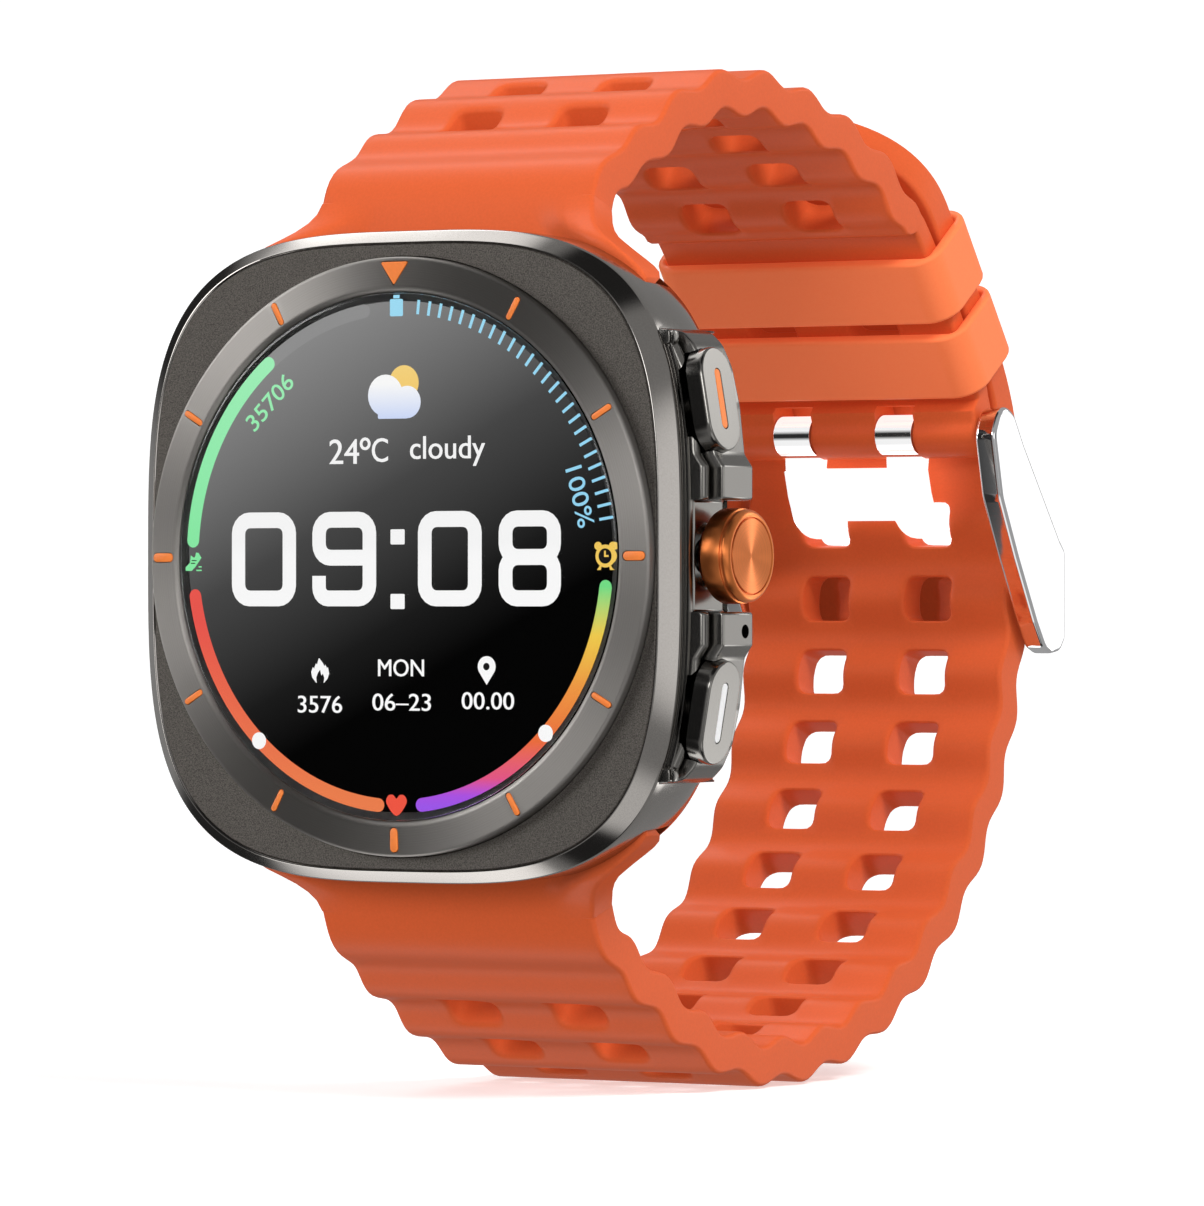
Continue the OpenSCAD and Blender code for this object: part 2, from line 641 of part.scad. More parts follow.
module buckle_tang() color(steel) watch() difference() {
    union() {
        side(-tang_w / 2, tang_w / 2) tang_run(0, 2);
        both_sides() side(notch_x - prong_w / 2, notch_x + prong_w / 2) {
            tang_run(0, len(TANG_PATH) - 1);
            translate([bar_y, bar_z]) circle(bar_r + 0.6);
            polygon([[64.4, 9.2], [65.4, 7.8], [65.7, 6.8], [66.5, 6.9], [66.8, 9.2]]);
        }
    }
    rod(-20, 20, bar_y, bar_z, bar_r + run_fit);
}

case_body();
front_plate();
bezel_ring();
bezel_markers();
cover_glass();
display_module();
display_gasket();
inner_frame();
main_board();
battery();
haptic_motor();
speaker();
microphone();
rear_cover();
rear_gasket();
rear_screws();
sensor_window();
sensor_module();
charging_contacts();
side_guard();
crown_cap();
crown_disc();
crown_stem();
crown_seal();
crown_tube();
crown_plunger();
crown_switch();
upper_button();
upper_button_inlay();
upper_button_seal();
upper_button_clip();
upper_button_switch();
lower_button();
lower_button_inlay();
lower_button_seal();
lower_button_clip();
lower_button_switch();
strap_upper();
strap_lower();
upper_lug();
lower_lug();
upper_lug_pin();
lower_lug_pin();
upper_release_button();
lower_release_button();
fixed_keeper();
free_keeper();
buckle_spring_bar();
buckle_frame();
buckle_tang();
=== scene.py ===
"""Looks of a gps running watch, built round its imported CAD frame.

Places are millimetres in the frame's axes: X towards the crown, Z towards twelve o'clock, and a
depth measured backwards from the plane of the hour markers. metres() turns them into the frame's.
"""

import math

import bmesh
import bpy
import numpy as np
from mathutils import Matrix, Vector

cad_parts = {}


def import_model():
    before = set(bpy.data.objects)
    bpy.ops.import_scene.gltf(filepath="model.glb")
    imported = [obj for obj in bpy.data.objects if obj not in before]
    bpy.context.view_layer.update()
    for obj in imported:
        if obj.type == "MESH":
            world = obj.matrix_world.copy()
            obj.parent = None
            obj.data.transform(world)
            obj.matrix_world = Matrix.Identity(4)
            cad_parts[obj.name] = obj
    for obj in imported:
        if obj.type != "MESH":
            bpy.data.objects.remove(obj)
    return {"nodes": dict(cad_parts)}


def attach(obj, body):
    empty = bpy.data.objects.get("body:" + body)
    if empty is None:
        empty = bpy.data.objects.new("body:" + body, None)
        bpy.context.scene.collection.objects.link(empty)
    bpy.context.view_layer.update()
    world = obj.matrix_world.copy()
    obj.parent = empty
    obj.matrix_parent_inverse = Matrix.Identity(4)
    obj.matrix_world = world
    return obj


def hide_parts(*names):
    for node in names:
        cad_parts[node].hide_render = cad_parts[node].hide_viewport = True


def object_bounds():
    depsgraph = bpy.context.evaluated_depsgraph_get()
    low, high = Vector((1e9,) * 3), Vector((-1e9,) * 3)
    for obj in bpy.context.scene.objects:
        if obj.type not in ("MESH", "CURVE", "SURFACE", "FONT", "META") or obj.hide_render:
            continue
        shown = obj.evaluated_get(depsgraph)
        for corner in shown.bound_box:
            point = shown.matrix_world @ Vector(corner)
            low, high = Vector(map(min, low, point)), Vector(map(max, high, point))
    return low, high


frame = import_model()
cad_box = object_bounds()

MM = 0.001
CASE_DEPTH = 13.6  # from the markers' plane back to the frame's origin


# --- mesh helpers ------------------------------------------------------------

def metres(points):
    return [(x * MM, (y - CASE_DEPTH) * MM, z * MM) for x, y, z in points]


def solid(name, points, faces):
    """A mesh object from points in millimetres, with doubles merged and normals outwards."""
    mesh = bpy.data.meshes.new(name)
    mesh.from_pydata(metres(points), [], faces)
    bm = bmesh.new()
    bm.from_mesh(mesh)
    bmesh.ops.remove_doubles(bm, verts=bm.verts, dist=1e-7)
    bmesh.ops.recalc_face_normals(bm, faces=bm.faces)
    bm.to_mesh(mesh)
    bm.free()
    obj = bpy.data.objects.new(name, mesh)
    bpy.context.scene.collection.objects.link(obj)
    return obj


def settle(obj):
    """Applies the object's modifiers to its mesh."""
    graph = bpy.context.evaluated_depsgraph_get()
    mesh = bpy.data.meshes.new_from_object(obj.evaluated_get(graph))
    obj.modifiers.clear()
    obj.data = mesh
    return obj


def cut(obj, *cutters, operation="DIFFERENCE"):
    """Takes the cutters out of the object, or joins them to it, and deletes them."""
    for cutter in cutters:
        change = obj.modifiers.new("cut", "BOOLEAN")
        change.operation = operation
        change.solver = "EXACT"
        change.object = cutter
    settle(obj)
    for cutter in cutters:
        bpy.data.objects.remove(cutter)
    return obj


def rounded(obj, width, steps=3, angle=30):
    """Rounds the object's sharp edges to a width in millimetres."""
    weld = obj.modifiers.new("weld", "WELD")
    weld.merge_threshold = 1e-6
    bevel = obj.modifiers.new("bevel", "BEVEL")
    bevel.width = width * MM
    bevel.segments = steps
    bevel.limit_method = "ANGLE"
    bevel.angle_limit = math.radians(angle)
    return obj


def finished(obj, material, body="case", stands_for=(), smooth=35):
    """Shades the piece, gives it its material and puts it on its body."""
    if obj.modifiers:
        settle(obj)
    mesh = obj.data
    mesh.shade_smooth()
    mesh.set_sharp_from_angle(angle=math.radians(smooth))
    if smooth < 60:
        even = obj.modifiers.new("even_shading", "WEIGHTED_NORMAL")
        even.keep_sharp = True
    mesh.materials.clear()
    mesh.materials.append(material)
    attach(obj, body)
    if stands_for:
        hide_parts(*stands_for)
    return obj


def skin(loops, ring=False):
    """Points and faces that join loops of equal length, end to end."""
    count = len(loops[0])
    points = [p for loop in loops for p in loop]
    faces = []
    last = len(loops) if ring else len(loops) - 1
    for k in range(last):
        a, b = k * count, ((k + 1) % len(loops)) * count
        for i in range(count):
            j = (i + 1) % count
            faces.append((a + i, a + j, b + j, b + i))
    if not ring:
        faces.append(tuple(range(count)))
        faces.append(tuple(range(len(points) - count, len(points))))
    return points, faces


def prism_y(name, outline, y0, y1):
    """An outline of (x, z) points made solid between two depths."""
    loops = [[(x, y, z) for x, z in outline] for y in (y0, y1)]
    return solid(name, *skin(loops))


def prism_x(name, outline, x0, x1):
    """An outline of (depth, z) points made solid between two places along X."""
    loops = [[(x, y, z) for y, z in outline] for x in (x0, x1)]
    return solid(name, *skin(loops))


def block(name, x0, x1, y0, y1, z0, z1):
    return prism_y(name, [(x0, z0), (x1, z0), (x1, z1), (x0, z1)], y0, y1)


def rod_x(name, x0, x1, y, z, r, steps=48):
    return prism_x(name, [(y + r * math.cos(t), z + r * math.sin(t)) for t in turn(steps)], x0, x1)


def turn(steps):
    return [math.tau * i / steps for i in range(steps)]


def lathe_y(profile, steps=192):
    """Points and faces of a closed (radius, depth) profile spun about the display's axis."""
    loops = [[(r * math.sin(t), y, r * math.cos(t)) for r, y in profile] for t in turn(steps)]
    return skin(loops, ring=True)


def lathe_x(profile, y, z, steps=96):
    """Points and faces of a closed (radius, x) profile spun about an axis along X."""
    loops = [[(x, y + r * math.cos(t), z + r * math.sin(t)) for r, x in profile] for t in turn(steps)]
    return skin(loops, ring=True)


def smooth(a, b, s):
    t = min(1.0, max(0.0, (s - a) / (b - a)))
    return t * t * (3 - 2 * t)


def spline(points, per=8, closed=False):
    """A smooth curve through the points (Catmull-Rom), with per steps a span."""
    p = [np.array(q, float) for q in points]
    n = len(p)
    out = []
    for i in range(n if closed else n - 1):
        if closed:
            a, b, c, d = p[i - 1], p[i], p[(i + 1) % n], p[(i + 2) % n]
        else:
            b, c = p[i], p[i + 1]
            a = p[i - 1] if i else 2 * b - c
            d = p[i + 2] if i + 2 < n else 2 * c - b
        for k in range(per):
            t = k / per
            out.append(0.5 * (2 * b + (c - a) * t + (2 * a - 5 * b + 4 * c - d) * t ** 2
                              + (3 * b - a - 3 * c + d) * t ** 3))
    if not closed:
        out.append(p[-1])
    return [tuple(q) for q in out]


def round_corners(outline, radii, steps=5):
    """The outline with each corner cut to an arc; radii is one number or one a corner."""
    count = len(outline)
    if not hasattr(radii, "__len__"):
        radii = [radii] * count
    out = []
    for i, r in enumerate(radii):
        a, b, c = (np.array(outline[k % count], float) for k in (i - 1, i, i + 1))
        if r == 0:
            out.append(tuple(b))
            continue
        u, v = (a - b) / np.linalg.norm(a - b), (c - b) / np.linalg.norm(c - b)
        half = math.acos(max(-1, min(1, float(u @ v)))) / 2
        if half > math.radians(88):
            out += [tuple(b)] * (steps + 1)
            continue
        reach = r / math.tan(half)
        limit = 0.49 * min(np.linalg.norm(a - b), np.linalg.norm(c - b))
        reach, r = min(reach, limit), min(reach, limit) * math.tan(half)
        start, end = b + u * reach, b + v * reach
        middle = b + (u + v) / np.linalg.norm(u + v) * (r / math.sin(half))
        sweep = math.pi - 2 * half
        for k in range(steps + 1):
            t = k / steps
            from_start = math.sin(sweep * (1 - t)) / math.sin(sweep)
            from_end = math.sin(sweep * t) / math.sin(sweep)
            out.append(tuple(middle + (start - middle) * from_start + (end - middle) * from_end))
    return out


def rounded_rect(half_w, z0, z1, r, steps=6):
    box = [(-half_w, z0), (half_w, z0), (half_w, z1), (-half_w, z1)]
    return round_corners(box, r, steps)


# --- materials ---------------------------------------------------------------

def shade(name, colour, roughness, metallic=0.0, **sockets):
    """A Principled material. Extra sockets are given as Coat_Weight=0.3 and so on."""
    material = bpy.data.materials.new(name)
    material.use_nodes = True
    shader = material.node_tree.nodes["Principled BSDF"]
    shader.inputs["Base Color"].default_value = (*colour, 1)
    shader.inputs["Roughness"].default_value = roughness
    shader.inputs["Metallic"].default_value = metallic
    for key, value in sockets.items():
        shader.inputs[key.replace("_", " ")].default_value = value
    return material


def tools(material):
    """The material's node maker, link maker and shader."""
    tree = material.node_tree

    def node(kind, **values):
        made = tree.nodes.new("ShaderNode" + kind)
        for key, value in values.items():
            if key in made.inputs:
                made.inputs[key].default_value = value
            else:
                setattr(made, key, value)
        return made

    return node, tree.links.new, tree.nodes["Principled BSDF"]


def colour_ramp(node, *stops):
    """A ramp node through (position, colour) stops, given in order."""
    made = node("ValToRGB")
    ramp = made.color_ramp
    for k, (position, colour) in enumerate(stops):
        stop = ramp.elements[k] if k < 2 else ramp.elements.new(position)
        stop.position = position
        stop.color = (*colour, 1)
    return made


def fitted(node, low, high, to_low=0.0, to_high=1.0):
    """A node that maps one span of values to another."""
    return node("MapRange", **{"From Min": low, "From Max": high, "To Min": to_low, "To Max": to_high})


def vary(material, value, stops, colours, rough, bump, distance):
    """Lets a 0 to 1 value drive the colour, the roughness and, where bump is given, the height."""
    node, link, shader = tools(material)
    ramp = colour_ramp(node, *zip(stops, colours))
    link(value, ramp.inputs["Fac"])
    link(ramp.outputs["Color"], shader.inputs["Base Color"])
    to_rough = fitted(node, 0, 1, *rough)
    link(value, to_rough.inputs["Value"])
    link(to_rough.outputs["Result"], shader.inputs["Roughness"])
    if bump:
        height = node("Bump", Strength=bump, Distance=distance)
        link(value, height.inputs["Height"])
        link(height.outputs["Normal"], shader.inputs["Normal"])


def grained(material, scale, span=0.06, rough_span=0.05, bump=0.0, detail=4.0, distance=0.00002):
    """Adds fine variation of colour, roughness and height. The scale is grains to a metre."""
    node, link, shader = tools(material)
    place = node("TexCoord")
    noise = node("TexNoise", Scale=scale, Detail=detail)
    link(place.outputs["Object"], noise.inputs["Vector"])
    base = shader.inputs["Base Color"].default_value[:3]
    dark = [c * (1 - span) for c in base]
    light = [min(1, c * (1 + span)) for c in base]
    rough = shader.inputs["Roughness"].default_value
    limits = (max(0.02, rough - rough_span), rough + rough_span)
    vary(material, noise.outputs["Fac"], (0.3, 0.7), (dark, light), limits, bump, distance)
    return material


def axis_distance(node, link, point, axis):
    """The distance of a point from a frame axis through the origin."""
    split = node("SeparateXYZ")
    link(point, split.inputs["Vector"])
    flat = node("CombineXYZ")
    for k in "XYZ".replace(axis, ""):
        link(split.outputs[k], flat.inputs[k])
    distance = node("VectorMath", operation="LENGTH")
    link(flat.outputs["Vector"], distance.inputs[0])
    return distance.outputs["Value"]


def around(material, axis, centre, rings, anisotropic, even):
    """Turns a metal into one brushed in circles about a frame axis through centre (millimetres)."""
    node, link, shader = tools(material)
    place = node("TexCoord")
    shift = node("VectorMath", operation="SUBTRACT")
    shift.inputs[1].default_value = metres([centre])[0]
    link(place.outputs["Object"], shift.inputs[0])
    lines = node("TexNoise", Scale=rings, Detail=3.0)
    lines.noise_dimensions = "1D"
    link(axis_distance(node, link, shift.outputs["Vector"], axis), lines.inputs["W"])
    base = shader.inputs["Base Color"].default_value[:3]
    dark = [c * even for c in base]
    light = [min(1, c / even) for c in base]
    rough = shader.inputs["Roughness"].default_value
    limits = (rough * 0.75, rough * 1.25)
    vary(material, lines.outputs["Fac"], (0.25, 0.75), (dark, light), limits, 0.06, 0.000005)
    shader.inputs["Anisotropic"].default_value = anisotropic
    shader.inputs["Anisotropic Rotation"].default_value = 0.25
    circle = node("Tangent", direction_type="RADIAL", axis=axis)
    link(circle.outputs["Tangent"], shader.inputs["Tangent"])
    return material


ORANGE = (0.62, 0.102, 0.03)
# Painted light: the keepers get a lighter copy of the strap's orange so that they look more brightly lit.
KEEPER_ORANGE_PAINTED_LIT = (0.92, 0.21, 0.075)


def rubber_like(name, colour):
    """Matt rubber; its low glow stands for the light that the orange faces throw on each other."""
    made = shade(name, colour, 0.4, Specular_IOR_Level=0.1, Emission_Color=(*colour, 1),
                 Emission_Strength=0.17)
    return grained(made, 5200, 0.04, 0.05, 0.06)


rubber = rubber_like("strap_rubber", ORANGE)
# The keepers' rubber, in the lighter orange painted to look more brightly lit.
keeper_rubber_painted_lit = rubber_like("keeper_rubber_painted_lit", KEEPER_ORANGE_PAINTED_LIT)

case_metal = grained(shade("case_metal", (0.36, 0.34, 0.32), 0.12, 1.0), 9000, 0.05, 0.04, 0.02)
blasted = grained(shade("blasted_metal", (0.17, 0.155, 0.14), 0.6, 1.0), 11000, 0.5, 0.1, 0.5,
                  detail=2.0, distance=0.00003)
CROWN_MIDDLE = (0, 5.9, 0)
ring_metal = around(shade("brushed_ring", (0.38, 0.36, 0.34), 0.42, 1.0), "Y", (0, 0, 0), 14000, 0.9, 0.93)
marker_paint = grained(shade("marker_orange", (0.87, 0.22, 0.04), 0.45), 3000, 0.04)
glass = grained(shade("cover_glass", (1, 1, 1), 0.0, Transmission_Weight=1.0, IOR=1.45), 20, 0.0, 0.0)


def glowing(name, colour, second=None, span=(0, 1)):
    """A lit display colour; second gives the colour it blends to up a span of millimetres."""
    material = shade(name, (0, 0, 0), 1.0, Specular_IOR_Level=0.0, Emission_Strength=1.0)
    node, link, shader = tools(material)
    place = node("TexCoord")
    split = node("SeparateXYZ")
    link(place.outputs["Object"], split.inputs["Vector"])
    fit = fitted(node, span[0] * MM, span[1] * MM)
    link(split.outputs["Z"], fit.inputs["Value"])
    ramp = colour_ramp(node, (0, colour), (1, second or [c * 0.97 for c in colour]))
    link(fit.outputs["Result"], ramp.inputs["Fac"])
    link(ramp.outputs["Color"], shader.inputs["Emission Color"])
    return material


def screen_material():
    """The dial's background: grey at the top left, black at the bottom."""
    material = shade("display_black", (0, 0, 0), 1.0, Specular_IOR_Level=0.0, Emission_Strength=1.0)
    node, link, shader = tools(material)
    place = node("TexCoord")
    lean = node("VectorMath", operation="DOT_PRODUCT")
    lean.inputs[1].default_value = (-0.45, 0, 0.9)
    link(place.outputs["Object"], lean.inputs[0])
    fit = fitted(node, -0.009, 0.021)
    link(lean.outputs["Value"], fit.inputs["Value"])
    greys = [(0.0, 0.0), (0.156, 0.0103), (0.46, 0.063), (1.0, 0.305)]
    ramp = colour_ramp(node, *[(along, (grey, grey, grey)) for along, grey in greys])
    link(fit.outputs["Result"], ramp.inputs["Fac"])
    link(ramp.outputs["Color"], shader.inputs["Emission Color"])
    return material


screen = screen_material()
guard_metal = grained(shade("guard_metal", (0.25, 0.24, 0.225), 0.24, 1.0), 9000, 0.04, 0.04, 0.02)
button_metal = grained(shade("button_metal", (0.24, 0.23, 0.215), 0.18, 1.0), 9000, 0.04, 0.04, 0.02)
crown_metal = around(shade("crown_orange", (0.86, 0.25, 0.07), 0.34, 1.0), "X", CROWN_MIDDLE, 3000, 0.7, 0.95)
spun_metal = around(shade("crown_spun", (0.86, 0.26, 0.08), 0.42, 1.0), "X", CROWN_MIDDLE, 12000, 0.95, 0.88)
white_paint = grained(shade("inlay_white", (0.9, 0.9, 0.9), 0.4), 3000, 0.02)
chrome = grained(shade("polished_steel", (0.86, 0.86, 0.87), 0.06, 1.0), 3000, 0.02, 0.02, 0.01)


PRONG_TOP = 8.5  # below this height the painted white glow covers the tang all over


def tang_material():
    """Polished steel with a painted white glow that stands for a bright reflection; the glow is left off
    where the knuckles stand upright above PRONG_TOP, which leaves a thin dark band.
    """
    material = shade("steel_painted_glow", (0.9, 0.9, 0.9), 0.12, 1.0, Emission_Color=(1, 1, 1, 1))
    node, link, shader = tools(material)
    place = node("TexCoord")
    split = node("SeparateXYZ")
    link(place.outputs["Normal"], split.inputs["Vector"])
    lean = node("Math", operation="ABSOLUTE")
    link(split.outputs["Z"], lean.inputs[0])
    fit = fitted(node, 0.08, 0.25, 0, 0.85)
    link(lean.outputs["Value"], fit.inputs["Value"])
    spot = node("SeparateXYZ")
    link(place.outputs["Object"], spot.inputs["Vector"])
    below = node("Math", operation="LESS_THAN")
    below.inputs[1].default_value = PRONG_TOP * MM
    link(spot.outputs["Z"], below.inputs[0])
    most = node("Math", operation="MAXIMUM")
    link(fit.outputs["Result"], most.inputs[0])
    link(below.outputs["Value"], most.inputs[1])
    # painted reflection: white emission, strongest below PRONG_TOP and on faces that lean away from upright
    link(most.outputs["Value"], shader.inputs["Emission Strength"])
    return grained(material, 3000, 0.02, 0.03, 0.01)


steel_painted_glow = tang_material()
steel = grained(shade("steel", (0.55, 0.55, 0.56), 0.3, 1.0), 5000, 0.05, 0.08)
rear_plastic = grained(shade("rear_plastic", (0.022, 0.022, 0.024), 0.38), 6000, 0.1, 0.06, 0.05)
gold = grained(shade("gold_contact", (0.83, 0.55, 0.2), 0.25, 1.0), 4000, 0.04, 0.05)


def sensor_material():
    """Dark glass over the heart sensor: a clear ring and centre lens with green lamps behind."""
    material = shade("sensor_glass", (0.012, 0.012, 0.014), 0.08, Coat_Weight=0.6)
    node, link, shader = tools(material)
    place = node("TexCoord")
    fit = fitted(node, 0, 0.0116)
    link(axis_distance(node, link, place.outputs["Object"], "Y"), fit.inputs["Value"])
    dark = (0.012, 0.012, 0.014)
    rings = colour_ramp(node, (0.0, (0.03, 0.09, 0.05)), (0.13, (0.10, 0.10, 0.11)), (0.16, dark),
                        (0.40, (0.05, 0.055, 0.06)), (0.57, dark), (0.84, (0.16, 0.16, 0.17)), (0.86, dark))
    rings.color_ramp.interpolation = "CONSTANT"
    link(fit.outputs["Result"], rings.inputs["Fac"])
    link(rings.outputs["Color"], shader.inputs["Base Color"])
    return material


sensor_glass = sensor_material()
inner_plastic = grained(shade("inner_plastic", (0.05, 0.05, 0.055), 0.5), 5000, 0.1, 0.08, 0.05)
circuit_board = grained(shade("circuit_board", (0.02, 0.16, 0.07), 0.4), 3500, 0.25, 0.08, 0.1)
battery_foil = grained(shade("battery_foil", (0.62, 0.63, 0.65), 0.35, 0.8), 2500, 0.05, 0.08, 0.05)
black_seal = grained(shade("black_seal", (0.02, 0.02, 0.02), 0.6), 6000, 0.1, 0.06, 0.05)
red_seal = grained(shade("red_seal", (0.45, 0.05, 0.02), 0.5), 6000, 0.08, 0.06, 0.05)
white_glow = glowing("dial_white", (1.0, 1.0, 1.0))
dark_glow = glowing("dial_dark", (0.01, 0.01, 0.01))
grey_glow = glowing("dial_grey", (0.30, 0.30, 0.30))
green_glow = glowing("dial_green", (0.25, 0.85, 0.38), (0.38, 0.92, 0.52), (0, 16))
blue_glow = glowing("dial_blue", (0.30, 0.68, 0.92), (0.36, 0.75, 0.95), (0, 18))
sun_glow = glowing("dial_sun", (0.95, 0.62, 0.16), (0.96, 0.68, 0.22), (11.4, 13.9))
cloud_glow = glowing("dial_cloud", (0.62, 0.72, 0.98), (1.0, 1.0, 1.0), (10.0, 12.6))
red_glow = glowing("dial_red", (0.90, 0.10, 0.06))
yellow_glow = glowing("dial_yellow", (0.93, 0.62, 0.12))
heart_glow = glowing("dial_heart", (0.87, 0.22, 0.08), (0.85, 0.10, 0.08), (-17, -5))


def rainbow_glow():
    """Green, yellow, orange, red and purple, from three o'clock down to six."""
    material = glowing("dial_rainbow", (0.35, 0.10, 0.85), (0.18, 0.75, 0.25), (-18.1, -2.2))
    ramp = [n for n in material.node_tree.nodes if n.type == "VALTORGB"][0].color_ramp
    for place, colour in ((0.05, (0.42, 0.09, 0.80)), (0.13, (0.80, 0.10, 0.25)), (0.3, (0.87, 0.16, 0.05)),
                          (0.55, (0.90, 0.33, 0.06)), (0.78, (0.90, 0.62, 0.08))):
        ramp.elements.new(place).color = (*colour, 1)
    return material


# --- strap -------------------------------------------------------------------

STRAP_W = 24.0
STRAP_T = 3.0
PITCH = 6.13
WAVE = 0.42
FILLET = 0.35
HOLE = (3.6, 4.2, 0.75)  # along the strap, across it, and corner radius
HOLE_X = 4.7
STEP = PITCH / 12
CELL_HALF = 5 * STEP
CELL_X = 2.7
START = (8.85, 20.0, 92.0)
UPPER_RUN = [(5, -14), (5.5, -57.8), (5.9, 11.2), (15.8, -37.8), (16.5, -20.7),
             (10.3, -24.4), (13.1, -3.1), (3.4, -30)]
LOWER_RUN = [(5, 14), (5.5, 46.4), (9, 1), (16.2, 32), (37.5, 59.6), (20.4, 30.6),
             (10.5, 12.6), (6.7, 22), (14.6, 0), (8, 13)]
UPPER_CREST = 13.05
LOWER_CREST = 13.75
FLAT = (56.4, 72.4)  # where the upper strap runs flat inside the keepers
FADE = 98.7          # where the lower strap's waves fade out
BAR = (65.4, 10.0)   # the spring bar's depth and height
BARREL_R = 1.9


def walk(runs, s, y, z, heading):
    """The point (depth, z) and heading at distance s along runs of [length, turn]."""
    for k, (length, turning) in enumerate(runs):
        d = s if s <= length or k == len(runs) - 1 else length
        bend = turning * d / length
        half = math.radians(bend / 2)
        chord = d if abs(half) < 1e-9 else d * math.sin(half) / half
        y += chord * math.cos(math.radians(heading + bend / 2))
        z += chord * math.sin(math.radians(heading + bend / 2))
        heading += bend
        if s <= length:
            break
        s -= length
    return y, z, heading


class Strap:
    """One half of the strap as a sheet: distance s along it, x across it, and an offset outwards."""

    def __init__(self, upper):
        self.upper = upper
        self.side = 1 if upper else -1
        self.runs = UPPER_RUN if upper else LOWER_RUN
        self.crest = UPPER_CREST if upper else LOWER_CREST
        rows = 7 if upper else 14
        self.holes = [self.crest + PITCH * (k + 0.5) for k in range(rows)]
        if upper:
            self.holes.append(65.1)
        self.length = sum(run[0] for run in self.runs)

    def wave(self, s):
        swing = WAVE * math.cos(math.tau * (s - self.crest) / PITCH)
        if self.upper:
            return swing * smooth(4.5, 11, s) * (1 - smooth(FLAT[0] - 2, FLAT[0], s))
        return swing * smooth(5, 12, s) * (1 - smooth(FADE, FADE + 6, s))

    def faces_at(self, s):
        """Offsets of the outer and the inner face."""
        wave = self.wave(s)
        outer, inner = STRAP_T / 2 + wave, -STRAP_T / 2 + wave
        if self.upper:
            flat = smooth(FLAT[0] - 0.7, FLAT[0], s) * (1 - smooth(FLAT[1], FLAT[1] + 0.7, s))
            outer, inner = outer + 0.2 * flat, inner + 1.3 * flat
            past = s - self.length
            if past > -math.sqrt(BARREL_R ** 2 - (STRAP_T / 2) ** 2):
                half = math.sqrt(max(BARREL_R ** 2 - past ** 2, 0.0))
                outer, inner = half, -half
        else:
            thin = 0.1 * smooth(FADE + 4, FADE + 10, s)
            outer, inner = outer - thin, inner + thin
        return outer, inner

    def at(self, s, x, offset):
        y, z, heading = walk(self.runs, s, START[0], self.side * START[1], self.side * START[2])
        t = math.radians(heading)
        return x, y - self.side * offset * math.sin(t), z + self.side * offset * math.cos(t)

    def lines(self, first, last):
        """Distances of the cross lines: even inside each hole's cell, and even between cells."""
        marks = [first]
        for hole in self.holes:
            marks += [hole - CELL_HALF, hole + CELL_HALF]
        marks.append(last)
        out = [first]
        for a, b in zip(marks, marks[1:]):
            inside = abs(b - a - 2 * CELL_HALF) < 1e-6 and (a + b) / 2 in np.round(self.holes, 9)
            count = 10 if inside else max(1, math.ceil((b - a) / STEP - 1e-6))
            out += [a + (b - a) * (k + 1) / count for k in range(count)]
        return out


FLARE = spline([(18.3, 19.4), (18.65, 19.95), (18.0, 20.7), (16.9, 21.45), (15.2, 22.5),
                (13.6, 23.45), (12.5, 24.65), (12.0, 25.9)], 6)
HORN_RAMP = (0.6, 0.9)  # shares of the half width between which the end bends forwards into its horns
HORN_LIFT = 2.7
HORN_TAPER = 1.5        # how much thinner the horns are at their tips
FLARE_AT = np.linspace(0, 1, len(FLARE))
FLARE_END = 5.6


def flare(t):
    """Half width and height of the strap end's side, from the horn's tip (0) to the plain strap (1)."""
    x = np.interp(t, FLARE_AT, [p[0] for p in FLARE])
    z = np.interp(t, FLARE_AT, [p[1] for p in FLARE])
    return float(x), float(z)


def half_width(strap, s):
    """Half the strap's width at s; the tail ends in a rounded tip."""
    tip = strap.length - 10
    if strap.upper or s <= tip:
        return STRAP_W / 2
    t = min(1.0, (s - tip) / 10)
    return STRAP_W / 2 * math.sqrt(max(0.0, 1 - t ** 2.4))


ARC_STEPS = 3


def arc(fillet, steps=ARC_STEPS):
    """Insets and drops along a quarter-round edge."""
    angles = [math.pi / 2 * k / steps for k in range(steps + 1)]
    return [(fillet * (1 - math.sin(t)), fillet * (1 - math.cos(t))) for t in angles]


def sheet_columns():
    cells = [-HOLE_X - CELL_X + 2 * CELL_X * k / 8 for k in range(9)]
    half = sorted([0.0, 1.0, 8.5, 9.1, 9.8, 10.8] + [-x for x in cells])
    return sorted(set([-x for x in half] + half))


COLUMNS = sheet_columns()


def cross_line(strap, s, place):
    """The loop of points round the strap at s. place(u, offset) takes u as a share of the half width."""
    outer, inner = strap.faces_at(s)
    width = half_width(strap, s)
    narrow = max(width, 0.02)
    round_by = min(FILLET, 0.45 * (outer - inner), 0.5 * width + 0.01)
    edge = 1 - round_by / narrow
    reach = max(COLUMNS) / (STRAP_W / 2)
    spread = [u / (STRAP_W / 2) for u in COLUMNS]
    spread = [-edge, *[u * min(1, edge / reach * 0.97) if reach > edge else u for u in spread], edge]
    steps = [(a / narrow, d) for a, d in arc(round_by)]
    middle = (outer + inner) / 2
    loop = [place(u, outer) for u in spread]
    loop += [place(1 - a, outer - d) for a, d in steps[1:]]
    loop += [place(1, middle)]
    loop += [place(1 - a, inner + d) for a, d in steps[:0:-1]]
    loop += [place(u, inner) for u in reversed(spread)]
    loop += [place(-1 + a, inner + d) for a, d in steps[1:]]
    loop += [place(-1, middle)]
    loop += [place(-1 + a, outer - d) for a, d in steps[:0:-1]]
    return loop


